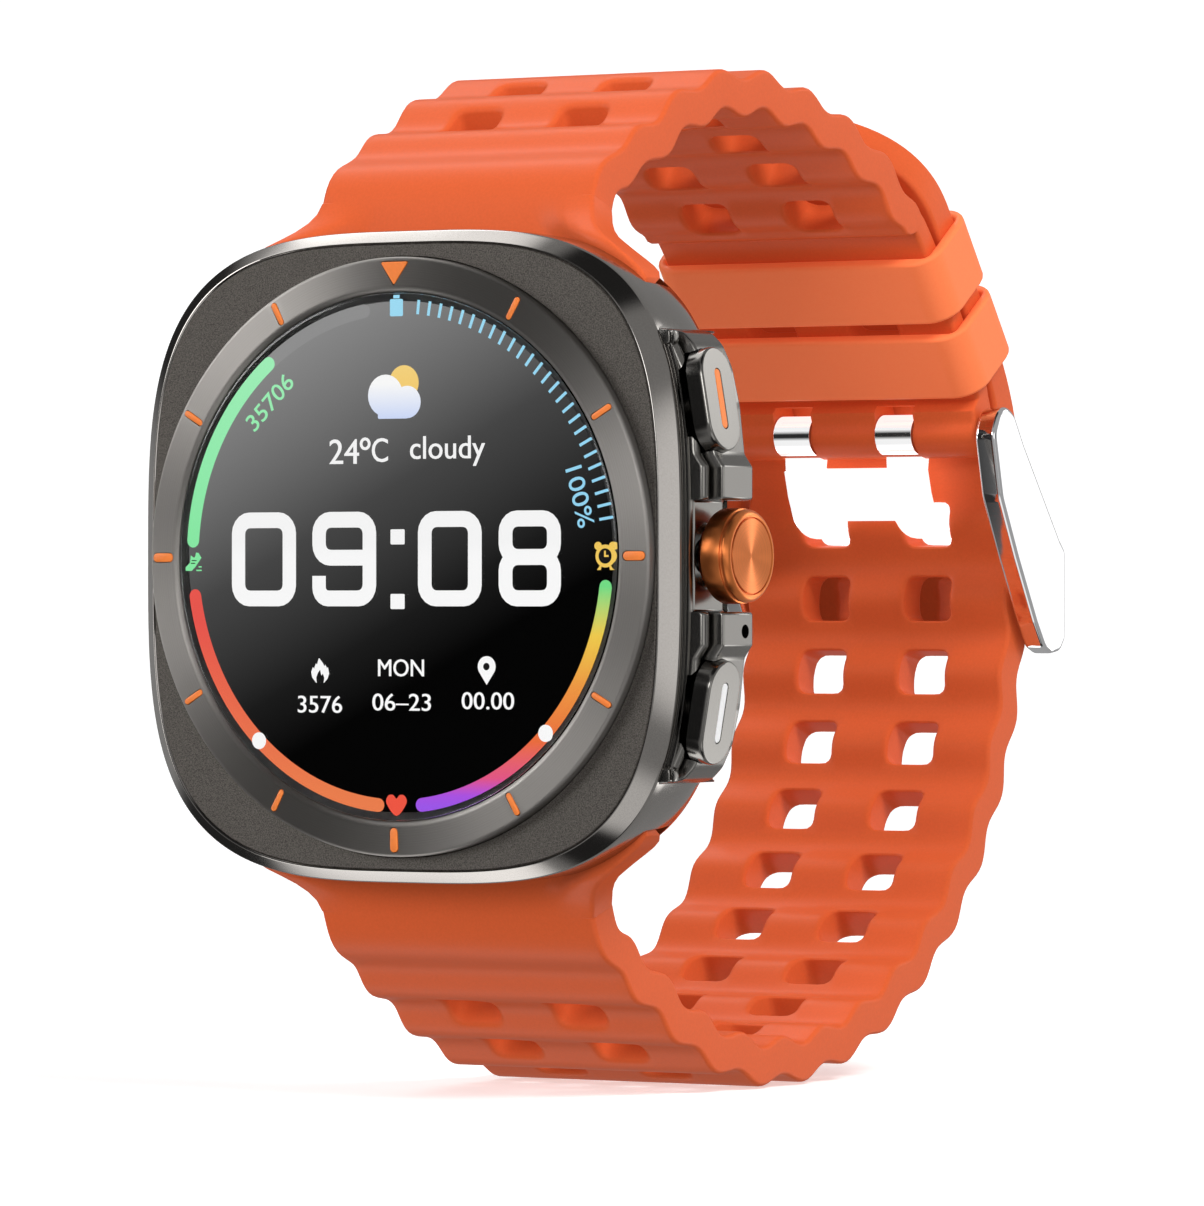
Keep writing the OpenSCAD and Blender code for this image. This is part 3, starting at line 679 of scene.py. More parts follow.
def end_place(strap, s):
    """Places a point on the flared end: the line across it droops towards the horns."""
    t = s / FLARE_END
    wide, low = flare(t)
    middle = abs(strap.at(s, 0, 0)[2])

    def place(u, offset):
        lift = HORN_LIFT * (1 - smooth(0.5, 1, t))
        if offset < 0:
            lift += HORN_TAPER * (1 - smooth(0, 0.3, t))
        lift *= smooth(*HORN_RAMP, abs(u))
        x, y, z = strap.at(s, 0, offset + lift)
        droop = (low - middle) * abs(u) ** 2.5
        return u * wide, y, z + strap.side * droop
    return place


def plain_place(strap, s):
    width = half_width(strap, s)
    return lambda u, offset: strap.at(s, u * width, offset)


def hole_point(strap, s0, x0, p, q, grow, outside, depth):
    """A point of a hole's rim: p, q run round a unit square, grow widens the rounded rectangle."""
    half_l, half_w, corner = HOLE[0] / 2 + grow, HOLE[1] / 2 + grow, HOLE[2] + grow
    core = np.array([max(-half_l + corner, min(half_l - corner, p * half_l)),
                     max(-half_w + corner, min(half_w - corner, q * half_w))])
    out = np.array([p * half_l, q * half_w]) - core
    core = core + out / max(np.linalg.norm(out), 1e-9) * corner
    s = s0 + core[0]
    outer, inner = strap.faces_at(s)
    offset = outer - depth if outside else inner + depth
    return strap.at(s, x0 + core[1], offset)


def in_hole_cell(strap, s, i):
    """Whether the i-th quad round the strap at s lies in a hole's cell, which add_hole fills."""
    wide = len(COLUMNS) + 2
    column = i if i <= wide else 2 * wide + 2 * ARC_STEPS - 1 - i
    if not 0 < column < wide - 2:
        return False
    x = (COLUMNS[column - 1] + COLUMNS[column]) / 2
    near = any(abs(s - hole) < CELL_HALF for hole in strap.holes)
    return near and abs(abs(x) - HOLE_X) < CELL_X


def strap_mesh(upper):
    strap = Strap(upper)
    last = strap.length + (BARREL_R - 0.02 if upper else 0)
    ends = [FLARE_END * (k / 12) for k in range(13)]
    fine = [last - 2 * (k / 8) ** 2 for k in range(7, 0, -1)]
    run = [s for s in strap.lines(FLARE_END + 0.3, last)[:-1] if s < last - 2.05]
    run += [last - 2, *fine, last - 0.004]
    loops = [cross_line(strap, s, end_place(strap, s)) for s in ends]
    loops += [cross_line(strap, s, plain_place(strap, s)) for s in run]
    s_of = ends + run
    count = len(loops[0])
    points = [p for loop in loops for p in loop]
    faces = []
    for k in range(len(loops) - 1):
        a, b = k * count, (k + 1) * count
        for i in range(count):
            if not in_hole_cell(strap, (s_of[k] + s_of[k + 1]) / 2, i):
                j = (i + 1) % count
                faces.append((a + i, a + j, b + j, b + i))
    faces.append(tuple(range(count)))
    faces.append(tuple(range(len(points) - count, len(points))))
    for hole in strap.holes:
        for x0 in (-HOLE_X, HOLE_X):
            add_hole(strap, hole, x0, points, faces)
    return solid("strap_upper" if upper else "strap_lower", points, faces)


def square_walk(along, across):
    """Points of a unit square's rim, with so many steps along and across."""
    out = [(-1 + 2 * k / along, -1) for k in range(along)]
    out += [(1, -1 + 2 * k / across) for k in range(across)]
    out += [(1 - 2 * k / along, 1) for k in range(along)]
    out += [(-1, 1 - 2 * k / across) for k in range(across)]
    return out


def add_hole(strap, s0, x0, points, faces):
    """Rings from the cell's edge on the outer face, over the rim and through to the inner face."""
    rim = square_walk(10, 8)
    rings = []
    for outside in (True, False):
        flat = []
        for p, q in rim:
            s = s0 + p * CELL_HALF
            outer, inner = strap.faces_at(s)
            flat.append(strap.at(s, x0 + q * CELL_X, outer if outside else inner))
        curved = [[hole_point(strap, s0, x0, p, q, a, outside, d) for p, q in rim] for a, d in arc(FILLET)]
        side = [flat, *curved]
        rings += side if outside else side[::-1]
    start = len(points)
    count = len(rim)
    for ring in rings:
        points.extend(ring)
    for k in range(len(rings) - 1):
        for i in range(count):
            j = (i + 1) % count
            a, b = start + k * count, start + (k + 1) * count
            faces.append((a + i, a + j, b + j, b + i))


# --- case and front ----------------------------------------------------------

CASE_A, CASE_B, CORNER = 23.4, 23.8, 3.4
PLATE_Y = 0.8
RING_R = 21.85
SEAT = [(13.0, 23.9), (13.6, 23.15), (14.0, 22.85), (14.0, 19.5), (12, 19.95)]
HORNS = [([(13.2, 24.2), (13.6, 23.5), (15.6, 22.9), (15.6, 19.1), (14.2, 19.45), (13.2, 19.6)],
          5.6, 9.3),
         ([(15.2, 23.2), (17.2, 21.9), (18.4, 20.9), (18.95, 20.0), (18.3, 19.2), (16.2, 19.0),
           (15.2, 19.2)], 4.6, 8.2)]


def squircle(a, b, steps=288):
    power = 2 / CORNER
    out = []
    for t in turn(steps):
        c, s = math.cos(t), math.sin(t)
        out.append((a * math.copysign(abs(c) ** power, c), b * math.copysign(abs(s) ** power, s)))
    return out


def stadium(length, width, steps=12):
    """A rounded outline of (along, across) points."""
    half, r = (length - width) / 2, width / 2
    right = [(half + r * math.sin(t), r * math.cos(t)) for t in np.linspace(0, math.pi, steps)]
    return right + [(-x, -z) for x, z in right]


def case_body():
    sections = [(1.6, 1.40), (0.86, 1.40), (0.80, 1.34), (0.80, 1.27), (0.84, 1.20), (1.78, 0.10),
                (1.88, 0.03), (2.05, 0), (3.2, 0), (4.2, 0.01), (5.2, 0.04), (6.2, 0.1), (7.2, 0.2),
                (8.2, 0.35), (9.0, 0.56), (9.6, 0.82), (10.2, 1.22), (10.7, 1.68), (11.1, 2.2),
                (11.5, 2.82), (11.8, 3.4), (11.9, 3.7)]
    loops = []
    for depth, inset in sections:
        taller = 0.4 * smooth(0.6, 1.3, inset) if depth < 2 else 0
        outline = squircle(CASE_A - inset, CASE_B - inset + taller)
        loops.append([(x, depth, z) for x, z in outline])
    case = solid("case_body", *skin(loops))
    bore = lathe_y([(0, -1), (20.4, -1), (20.4, 1.9), (18.9, 1.9), (18.9, 3.7), (17.2, 3.7),
                    (17.2, 10.9), (16.2, 10.9), (16.2, 13), (0, 13)])
    outline = SEAT + [(-x, z) for x, z in reversed(SEAT)]
    cutters = [solid("bore", *bore), block("pocket", 20.6, 30, 2.3, 10.2, -16.3, 16.3)]
    for side in (1, -1):
        cutters.append(prism_y("seat", [(x, side * z) for x, z in outline], 7.32, 10.5))
        for way in (1, -1):
            for horn, y0, y1 in HORNS:
                cutters.append(prism_y("horn_seat", [(way * x, side * z) for x, z in horn], y0, y1))
        release = [(x, side * (19.1 + z)) for x, z in stadium(4.9, 1.8)]
        cutters.append(prism_y("release", release, 10.1, 12.5))
    cutters += [stem_room(True), stem_room(False)]
    cut(case, *cutters)
    return finished(case, case_metal, stands_for=["case_body"])


def on_circle(outline, radius):
    """The outline's points moved out along their own directions onto a circle."""
    return [(x * radius / math.hypot(x, z), z * radius / math.hypot(x, z)) for x, z in outline]


def front_plate():
    edge = 0.07
    rim = squircle(CASE_A - 1.42, CASE_B - 1.02)
    inner = on_circle(rim, RING_R + 0.03)
    face = squircle(CASE_A - 1.42 - edge, CASE_B - 1.02 - edge)
    sections = [(rim, 1.55), (rim, PLATE_Y + edge), (face, PLATE_Y), (on_circle(rim, RING_R + 0.1), PLATE_Y),
                (inner, PLATE_Y + edge), (inner, 1.55)]
    loops = [[(x, depth, z) for x, z in outline] for outline, depth in sections]
    plate = solid("front_plate", *skin(loops, ring=True))
    return finished(plate, blasted, stands_for=["front_plate"])


def marker_outlines(grow=0.0):
    """The hour markers as outlines: a triangle at twelve and eleven round-ended bars."""
    top = [(-1.2 - grow * 1.7, 21.45 + grow), (1.2 + grow * 1.7, 21.45 + grow), (0, 19.75 - grow * 2)]
    yield round_corners(top, 0.1, 3)
    for hour in range(1, 12):
        width = 0.66 if hour % 3 == 0 else 0.44
        t = math.radians(30 * hour)
        out = (math.sin(t), math.cos(t))
        bar = stadium(1.8 + 2 * grow, width + 2 * grow, 8)
        yield [(out[0] * (20.6 + u) + out[1] * v, out[1] * (20.6 + u) - out[0] * v) for u, v in bar]


def bezel_ring():
    profile = [(RING_R - 0.02, 1.5), (RING_R - 0.02, 0.3), (RING_R - 0.06, 0.17), (RING_R - 0.16, 0.08),
               (RING_R - 0.3, 0.05), (19.72, -0.08), (19.62, -0.09), (19.54, -0.06), (19.3, 0.1),
               (19.26, 0.2), (19.26, 1.2), (18.65, 1.2), (18.65, 1.86), (20.35, 1.86), (20.35, 1.5)]
    ring = solid("bezel_ring", *lathe_y(profile, 360))
    cut(ring, *[prism_y("groove", outline, -1, 0.35) for outline in marker_outlines(0.05)])
    return finished(ring, ring_metal, stands_for=["bezel_ring"])


def joined(name, objects):
    """One object from several, mesh and all."""
    bm = bmesh.new()
    for obj in objects:
        settle(obj)
        bm.from_mesh(obj.data)
    mesh = bpy.data.meshes.new(name)
    bm.to_mesh(mesh)
    bm.free()
    for obj in objects:
        bpy.data.objects.remove(obj)
    made = bpy.data.objects.new(name, mesh)
    bpy.context.scene.collection.objects.link(made)
    return made


def bezel_markers():
    bars = [rounded(prism_y("bar", outline, -0.06, 0.33), 0.05, 2, 60) for outline in marker_outlines()]
    return finished(joined("bezel_markers", bars), marker_paint,
                    stands_for=["bezel_markers"])


def cover_glass():
    profile = [(0, 0), (18.85, 0), (19.05, 0.03), (19.16, 0.1), (19.2, 0.2), (19.2, 0.38), (0, 0.38)]
    pane = solid("cover_glass", *lathe_y(profile))
    return finished(pane, glass, stands_for=["cover_glass"])


def display_panel():
    panel = solid("display_module", *lathe_y([(0, 0.5), (18.5, 0.5), (18.6, 0.6), (18.6, 2.6), (0, 2.6)]))
    return finished(panel, screen, stands_for=["display_module"])


# --- crown side --------------------------------------------------------------

CROWN_Y = 5.9
CROWN_R = 3.43
RECESS_X = 23.5
GUARD_X0 = 20.6
GUARD_END = 16.3
MIC = (6.4, -5.4)
BUTTON = (25.3, 4.3, 11.25)
BUTTON_SLANT = math.radians(10)


def guard_outline(inset):
    quarter = [(RECESS_X - inset, 0), (RECESS_X - inset, 4), (26 - inset, 4), (26 - inset, 6.4),
               (25.35 - inset, 7.3), (24.95 - inset, 10.8), (24.3 - inset, 13.6), (23.5 - inset, 15.2),
               (22.6 - inset, 16.05), (21.4, GUARD_END), (GUARD_X0, GUARD_END)]
    radii = [0, 0.2, 0.25, 0.3, 0.8, 6, 4, 2, 1.2, 0.6, 0]
    outline = quarter[:0:-1] + [(x, -z) for x, z in quarter[1:]]
    return round_corners(outline, radii[:0:-1] + radii[1:], 4)


def case_edge(out, z):
    """X of the case's outline, moved out by so much, at height z."""
    a, b = CASE_A + out, CASE_B + out
    return a * (1 - (abs(z) / b) ** CORNER) ** (1 / CORNER)


def rail(x_out, width, y0, y1, reach):
    """A thin rounded rail along the case's edge between the guard and the chamfer."""
    heights = np.linspace(-reach, reach, 61)
    loops = []
    for z in heights:
        x = case_edge(x_out, z)
        section = [(-0.3, y1), (-0.3, y0 + 0.05), (0, y0 + 0.05), (0.02, y0), (width - 0.04, y0),
                   (width, y0 + 0.08), (width, y1)]
        loops.append([(x + dx, y, z) for dx, y in section])
    return solid("rail", *skin(loops))


def on_button(upper, points):
    """Moves points from a button's own frame, whose first axis points out of the case."""
    side = 1 if upper else -1
    c, s = math.cos(BUTTON_SLANT), math.sin(BUTTON_SLANT)
    return [(BUTTON[0] + x * c - z * s, BUTTON[1] + y, side * (BUTTON[2] + x * s + z * c))
            for x, y, z in points]


def button_stack(name, upper, sections, length, width, steps=14):
    """A stadium-shaped solid through (out, inset) sections in a button's frame."""
    loops = []
    for out, inset in sections:
        outline = stadium(length - 2 * inset, width - 2 * inset, steps)
        loops.append(on_button(upper, [(out, across, along) for along, across in outline]))
    return solid(name, *skin(loops))


def stem_room(upper):
    """The bore that a button's stem and seal slide in."""
    return button_stack("stem_room", upper, [(-12, 0), (0, 0)], 1.82, 1.76)


def button_room(upper):
    """The pocket that a button's head sinks into."""
    room = [(-2.2, 0.1), (-0.4, 0.1), (0.5, -0.25), (3, -1.2)]
    return button_stack("room", upper, room, 7.9, 4.5)


def side_guard():
    sections = [(2.3, 1.35), (2.32, 1.2), (2.42, 1.02), (2.6, 0.92), (2.85, 0.9), (3.02, 0.97), (3.08, 1.3),
                (3.4, 1.3), (3.43, 0.25), (3.48, 0.1), (3.6, 0.0), (7.3, 0.0), (7.42, 0.03), (7.52, 0.12),
                (7.65, 0.25), (9.9, 1.6), (10.1, 1.8), (10.2, 2.0)]
    guard = solid("guard", *skin([[(x, depth, z) for x, z in guard_outline(inset)]
                                  for depth, inset in sections]))
    cutters = [rod_x("crown_room", RECESS_X, 30, CROWN_Y, 0, CROWN_R + 0.35, 72),
               rod_x("tube_room", 20, 30, CROWN_Y, 0, 1.62), rod_x("mic_room", 16, 30, *MIC, 0.5, 32)]
    for upper in (True, False):
        cutters += [button_room(upper), stem_room(upper)]
    cut(guard, *cutters)
    parts = [guard]
    for line in (rail(0.06, 0.16, 2.06, 2.6, 15.2), rail(0.34, 0.18, 2.14, 2.6, 15.0)):
        cut(line, button_room(True), button_room(False))
        parts.append(line)
    for side in (1, -1):
        pad = [(x, side * z) for x, z in [(21.2, 15.15), (22.35, 15.15), (22.35, 16.2), (21.2, 16.2)]]
        parts.append(rounded(prism_y("pad", round_corners(pad, 0.25, 3), 2.0, 2.7), 0.1, 3))
        post = [(22.55 + 0.16 * math.cos(t), side * 15.65 + 0.5 * math.sin(t)) for t in turn(20)]
        parts.append(rounded(prism_y("post", post, 2.12, 2.7), 0.06, 2))
    return finished(joined("side_guard", parts), guard_metal, stands_for=["side_guard"])


def crown():
    cap_profile = [(0, 24.5), (3.15, 24.5), (3.33, 24.58), (3.43, 24.78), (3.43, 26.08), (3.4, 26.14),
                   (3.3, 26.18), (3.27, 26.23), (3.27, 26.31), (3.33, 26.36), (3.36, 26.44), (3.33, 26.56),
                   (3.2, 26.74), (3.1, 26.83), (2.98, 26.88), (2.86, 26.88), (2.8, 26.84), (2.76, 26.72),
                   (0, 26.72)]
    cap = solid("crown_cap", *lathe_x(cap_profile, CROWN_Y, 0, 144))
    cut(cap, rod_x("hollow", 24, 25.5, CROWN_Y, 0, 2.6), rod_x("seat", 24, 26.2, CROWN_Y, 0, 0.9))
    finished(cap, crown_metal, "crown", ["crown_cap"])
    disc_profile = [(0, 26.72), (2.7, 26.72), (2.7, 26.86), (2.66, 26.9), (2.55, 26.89), (0, 26.8)]
    disc = solid("crown_disc", *lathe_x(disc_profile, CROWN_Y, 0, 144))
    finished(disc, spun_metal, "crown", ["crown_disc"])


def push_button(upper):
    word = "upper" if upper else "lower"
    sections = [(-1.5, 0.15), (-1.35, 0), (-0.4, 0), (-0.22, 0.02), (-0.1, 0.06), (-0.03, 0.11), (0, 0.18)]
    head = button_stack("head", upper, sections, 7.6, 4.2, 20)
    cut(head, button_stack("slot", upper, [(-0.35, 0), (-0.05, 0), (0.02, -0.05), (0.5, -0.3)], 4.4, 0.8))
    stem = [on_button(upper, [(x, 0.8 * math.cos(t), 0.8 * math.sin(t)) for t in turn(32)])
            for x in (-1.45, -7.9)]
    parts = [head, solid("stem", *skin(stem))]
    body = word + "_pusher"
    finished(joined(word + "_button", parts), button_metal, body, [word + "_button"])
    inlay = button_stack(word + "_button_inlay", upper,
                         [(-0.34, 0.02), (-0.08, 0.02), (-0.02, 0.06), (0.0, 0.14)], 4.4, 0.8)
    paint = marker_paint if upper else white_paint
    finished(inlay, paint, body, [word + "_button_inlay"])


# --- keepers and buckle ------------------------------------------------------

KEEPER_AT = (55.5, 23.0)
KEEPER_DIR = math.radians(-54)
KEEPER_L, KEEPER_T, KEEPER_WALL, SIDE_WALL, KEEPER_GAP = 5.7, 8.0, 1.1, 0.9, 1.4
ARM_X = (12.4, 14.3)
CROSS_Y = (73.4, 74.9)
ARM = [(63.2, 10), (64.4, 4.9), (66.9, 0.2), (69.9, -4.9), (71.3, -6.9), (72.6, -7.4), (74.1, -7.2),
       (74.9, -6.2), (74.9, 0.8), (74.0, 1.7), (68.2, 9.2), (66.6, 11.6), (65.4, 12.2), (64.1, 11.8)]
TANG_PATH = [(66.0, 7.3), (66.6, 5.3), (67.5, 3.4), (69.6, 2.35), (73.6, 2.2), (75.18, 1.3),
             (75.26, 0.2), (75.26, -3.6)]
TANG_T, TANG_W, PRONG_W = 0.9, 12.8, 3.3


def keeper(name, start, body):
    """A rubber band round both strap halves, with softly rounded edges."""
    def loop(along, grow_out, inner):
        if inner:
            outline = rounded_rect(STRAP_W / 2 + 0.1 + grow_out, KEEPER_WALL - grow_out,
                                   KEEPER_T - KEEPER_WALL + grow_out, 0.5 + grow_out)
        else:
            outline = rounded_rect(STRAP_W / 2 + 0.1 + SIDE_WALL + grow_out, -grow_out, KEEPER_T + grow_out,
                                   2.3 + grow_out)
        c, s = math.cos(KEEPER_DIR), math.sin(KEEPER_DIR)
        along += start
        y, z = KEEPER_AT
        return [(x, y + along * c - up * s, z + along * s + up * c) for x, up in outline]

    soft = arc(0.32, 4)
    loops = [loop(d, -a, False) for a, d in soft]
    loops += [loop(KEEPER_L - d, -a, False) for a, d in soft[::-1]]
    loops += [loop(KEEPER_L - d, a, True) for a, d in soft]
    loops += [loop(d, a, True) for a, d in soft[::-1]]
    return finished(solid(name, *skin(loops, ring=True)), keeper_rubber_painted_lit, body, [name])


def ribbon(path, thick):
    """The outline of a bent strip of even thickness along a path, with round ends."""
    pts = [np.array(p, float) for p in path]
    left, right = [], []
    for k, p in enumerate(pts):
        before = pts[k] - pts[k - 1] if k else pts[1] - pts[0]
        after = pts[k + 1] - pts[k] if k + 1 < len(pts) else before
        u, v = before / np.linalg.norm(before), after / np.linalg.norm(after)
        way = (u + v) / np.linalg.norm(u + v)
        out = np.array([-way[1], way[0]]) * thick / 2 / max(0.5, float(way @ u))
        left.append(tuple(p + out))
        right.append(tuple(p - out))
    return left + right[::-1]


def buckle():
    outline = round_corners(ARM, [1.5, 3, 6, 3, 1.2, 1, 1, 0.8, 0.8, 1.2, 4, 1.6, 1.4, 1.4], 6)
    pieces = [prism_x("arm", outline, *sorted((side * ARM_X[0], side * ARM_X[1]))) for side in (-1, 1)]
    for arm in pieces:
        cut(arm, rod_x("pivot", -13.8, 13.8, *BAR, 0.75))
        rounded(arm, 0.4, 5, 40)
    pieces.append(rounded(block("cross", -ARM_X[0] - 0.3, ARM_X[0] + 0.3, *CROSS_Y, -6.4, 0.5), 0.3, 4, 40))
    finished(joined("buckle_frame", pieces), chrome, "buckle", ["buckle_frame"])

    plate = prism_x("plate", ribbon(TANG_PATH[:3], TANG_T), -TANG_W / 2, TANG_W / 2)
    prongs = []
    for side in (-1, 1):
        x0, x1 = side * HOLE_X - PRONG_W / 2, side * HOLE_X + PRONG_W / 2
        bent = spline(TANG_PATH[1:-1], 4) + [TANG_PATH[-1]]
        prongs.append(prism_x("prong", ribbon(bent, TANG_T), x0, x1))
        prongs.append(rod_x("knuckle", x0, x1, *BAR, 1.6))
        link = [(65.6, 9.2), (65.7, 7.6), (65.75, 6.9), (66.5, 7.1), (66.9, 9.2)]
        prongs.append(prism_x("link", link, x0, x1))
    cut(plate, *prongs, operation="UNION")
    cut(plate, rod_x("bore", -20, 20, *BAR, 1.05))
    rounded(plate, 0.16, 3, 50)
    plate.name = "buckle_tang"
    finished(plate, steel_painted_glow, "tang", ["buckle_tang"])


# --- back --------------------------------------------------------------------

CONTACTS_AT = [(side * 2.3, -14.2) for side in (-1, 1)]
SCREWS_AT = [(side * 13.6, up * 12.9) for side in (-1, 1) for up in (-1, 1)]


def back():
    sections = [(11.9, 18.4, 17.8), (12.3, 18.3, 17.7), (12.62, 18.0, 17.4), (12.8, 17.75, 17.15),
                (12.88, 17.5, 16.9), (12.9, 17.2, 16.6)]
    cover = solid("rear_cover", *skin([[(x, depth, z) for x, z in squircle(a, b, 192)]
                                       for depth, a, b in sections]))
    well = [(0, 11), (10.6, 11), (10.6, 12.3), (11.56, 12.3), (11.56, 14), (0, 14)]
    contact_room = [(0, 11), (1.06, 11), (1.06, 14), (0, 14)]
    screw_room = [(0, 11), (0.62, 11), (0.62, 12.5), (1.16, 12.5), (1.16, 14), (0, 14)]
    cutters = [solid("well", *lathe_y(well))]
    cutters += [spun("contact_room", x, z, contact_room) for x, z in CONTACTS_AT]
    cutters += [spun("screw_room", x, z, screw_room) for x, z in SCREWS_AT]
    cut(cover, *cutters)
    finished(cover, rear_plastic, stands_for=["rear_cover"])
    window = [(0, 12.3), (11.5, 12.3), (11.5, 13.05), (11.42, 13.16), (11.2, 13.25), (10.6, 13.5),
              (9.8, 13.58), (8.5, 13.6), (0, 13.6)]
    finished(solid("sensor_window", *lathe_y(window)), sensor_glass,
             stands_for=["sensor_window"])
    contact = [(0, 11.35), (1.0, 11.35), (1.0, 12.83), (0.95, 12.92), (0.82, 12.95), (0, 12.95)]
    contacts = [spun("contact", x, z, contact) for x, z in CONTACTS_AT]
    finished(joined("charging_contacts", contacts), gold, stands_for=["charging_contacts"])
    screws = [hex_screw(x, z) for x, z in SCREWS_AT]
    finished(joined("rear_screws", screws), steel, stands_for=["rear_screws"])


def hex_screw(x, z):
    profile = [(0, 8.75), (0.6, 8.75), (0.6, 12.5), (1.1, 12.5), (1.1, 12.62), (1.04, 12.7), (0, 12.72)]
    screw = spun("screw", x, z, profile, 36)
    return cut(screw, prism_y("hex", circle(x, z, 0.45, 6), 12.45, 13))


def spun(name, x, z, profile, steps=48):
    """A solid: a closed (radius, depth) profile spun about an axis along the depth at (x, z)."""
    loops = [[(x + r * math.sin(t), y, z + r * math.cos(t)) for r, y in profile] for t in turn(steps)]
    return solid(name, *skin(loops, ring=True))


def release_button(upper):
    side = 1 if upper else -1
    word = "upper" if upper else "lower"
    loops = []
    for depth, inset in [(10.9, 0.1), (11.0, 0), (11.95, 0), (12.08, 0.05), (12.17, 0.15), (12.2, 0.3)]:
        outline = stadium(4.6 - 2 * inset, 1.5 - 2 * inset, 14)
        loops.append([(x, depth, side * (19.1 + z)) for x, z in outline])
    head = solid("head", *skin(loops))
    foot = block("foot", -1.2, 1.2, 8.7, 10.95, *sorted((side * 18.6, side * 19.4)))
    hook = block("hook", -1.2, 1.2, 8.7, 9.3, *sorted((side * 18.6, side * 20.5)))
    name = word + "_release_button"
    made = joined(name, [head, rounded(foot, 0.1), rounded(hook, 0.1)])
    finished(made, case_metal, word + "_release", [name])


# --- dial --------------------------------------------------------------------

UI_Y = (0.43, 0.49)
OVER_Y = (0.41, 0.435)  # for dark shapes that lie over lit ones


def flat_piece(name, outlines, material, depth=UI_Y):
    """Lit shapes on the dial, each an outline of (x, z) points, as thin solids in one piece."""
    parts = [prism_y(name, outline, *depth) for outline in outlines]
    made = joined(name, parts)
    return finished(made, material)


def dial_arc(name, radius, width, start, end, material, depth=UI_Y):
    """A round-ended band along the dial's edge, with angles clockwise from twelve."""
    steps = max(8, int(abs(end - start) / 2))
    angles = [math.radians(a) for a in np.linspace(start, end, steps)]
    outer = [((radius + width / 2) * math.sin(t), (radius + width / 2) * math.cos(t)) for t in angles]
    inner = [((radius - width / 2) * math.sin(t), (radius - width / 2) * math.cos(t)) for t in angles]
    way = 1 if end > start else -1

    def cap(t, forward):
        cx, cz = radius * math.sin(t), radius * math.cos(t)
        out = []
        for k in range(1, 8):
            turned = math.pi * k / 8
            u = math.cos(turned) * (1 if forward else -1) * width / 2
            v = math.sin(turned) * (1 if forward else -1) * width / 2 * way
            out.append((cx + u * math.sin(t) + v * math.cos(t), cz + u * math.cos(t) - v * math.sin(t)))
        return out

    outline = outer + cap(angles[-1], True) + inner[::-1] + cap(angles[0], False)
    return flat_piece(name, [outline], material, depth)


def stroke(path, width, closed=False):
    """The outline loops of a pen stroke along (x, z) points: mitred, of even width."""
    pts = [np.array(p, float) for p in path]
    n = len(pts)
    left, right = [], []
    for k in range(n):
        a = pts[k - 1] if (closed or k) else None
        b = pts[(k + 1) % n] if (closed or k < n - 1) else None
        u = pts[k] - a if a is not None else b - pts[k]
        v = b - pts[k] if b is not None else u
        u, v = u / np.linalg.norm(u), v / np.linalg.norm(v)
        way = (u + v) / np.linalg.norm(u + v)
        out = np.array([-way[1], way[0]]) * width / 2 / max(0.35, float(way @ u))
        left.append(pts[k] + out)
        right.append(pts[k] - out)
    return left, right


def stroke_solid(name, path, width, closed=False, depth=UI_Y):
    """A thin solid along a path, closed like an 0 or open."""
    left, right = stroke(path, width, closed)
    y0, y1 = depth
    loops = [[(a[0], y0, a[1]), (b[0], y0, b[1]), (b[0], y1, b[1]), (a[0], y1, a[1])]
             for a, b in zip(left, right)]
    return solid(name, *skin(loops, ring=closed))


DIGIT_TOP, DIGIT_LOW, STROKE = 3.3, -3.6, 1.15


def digits():
    """The time: squared digits with round corners, drawn as even strokes."""
    half = STROKE / 2
    top, low = DIGIT_TOP - half, DIGIT_LOW + half
    middle = (top + low) / 2 + 0.1
    parts = []

    def ring(x0, x1, z0, z1, corner=1.0):
        box = [(x0, z0), (x1, z0), (x1, z1), (x0, z1)]
        parts.append(stroke_solid("ring", round_corners(box, corner, 5), STROKE, True))

    for x0, x1 in ((-14.6, -8.9), (1.9, 7.4)):
        ring(x0 + half, x1 - half, low, top)
    x0, x1 = -7.4 + half, -1.8 - half
    loop = round_corners([(x0, middle), (x1, middle), (x1, top), (x0, top)], [1.0, 0.01, 1.0, 1.0], 5)
    parts.append(stroke_solid("loop", loop, STROKE, True))
    hook = [(x1, middle + half), (x1, low), (x0, low), (x0, low + 1.65)]
    parts.append(stroke_solid("tail", round_corners(hook, [0, 1.0, 1.0, 0], 5), STROKE))
    for z0, z1 in ((low, middle), (middle, top)):
        ring(8.9 + half, 14.2 - half, z0, z1)
    for z0 in (0.9, -3.8):
        box = [(-0.5, z0), (0.7, z0), (0.7, z0 + 1.1), (-0.5, z0 + 1.1)]
        parts.append(prism_y("dot", round_corners(box, 0.08, 2), *UI_Y))
    finished(joined("dial_time", parts), white_glow)


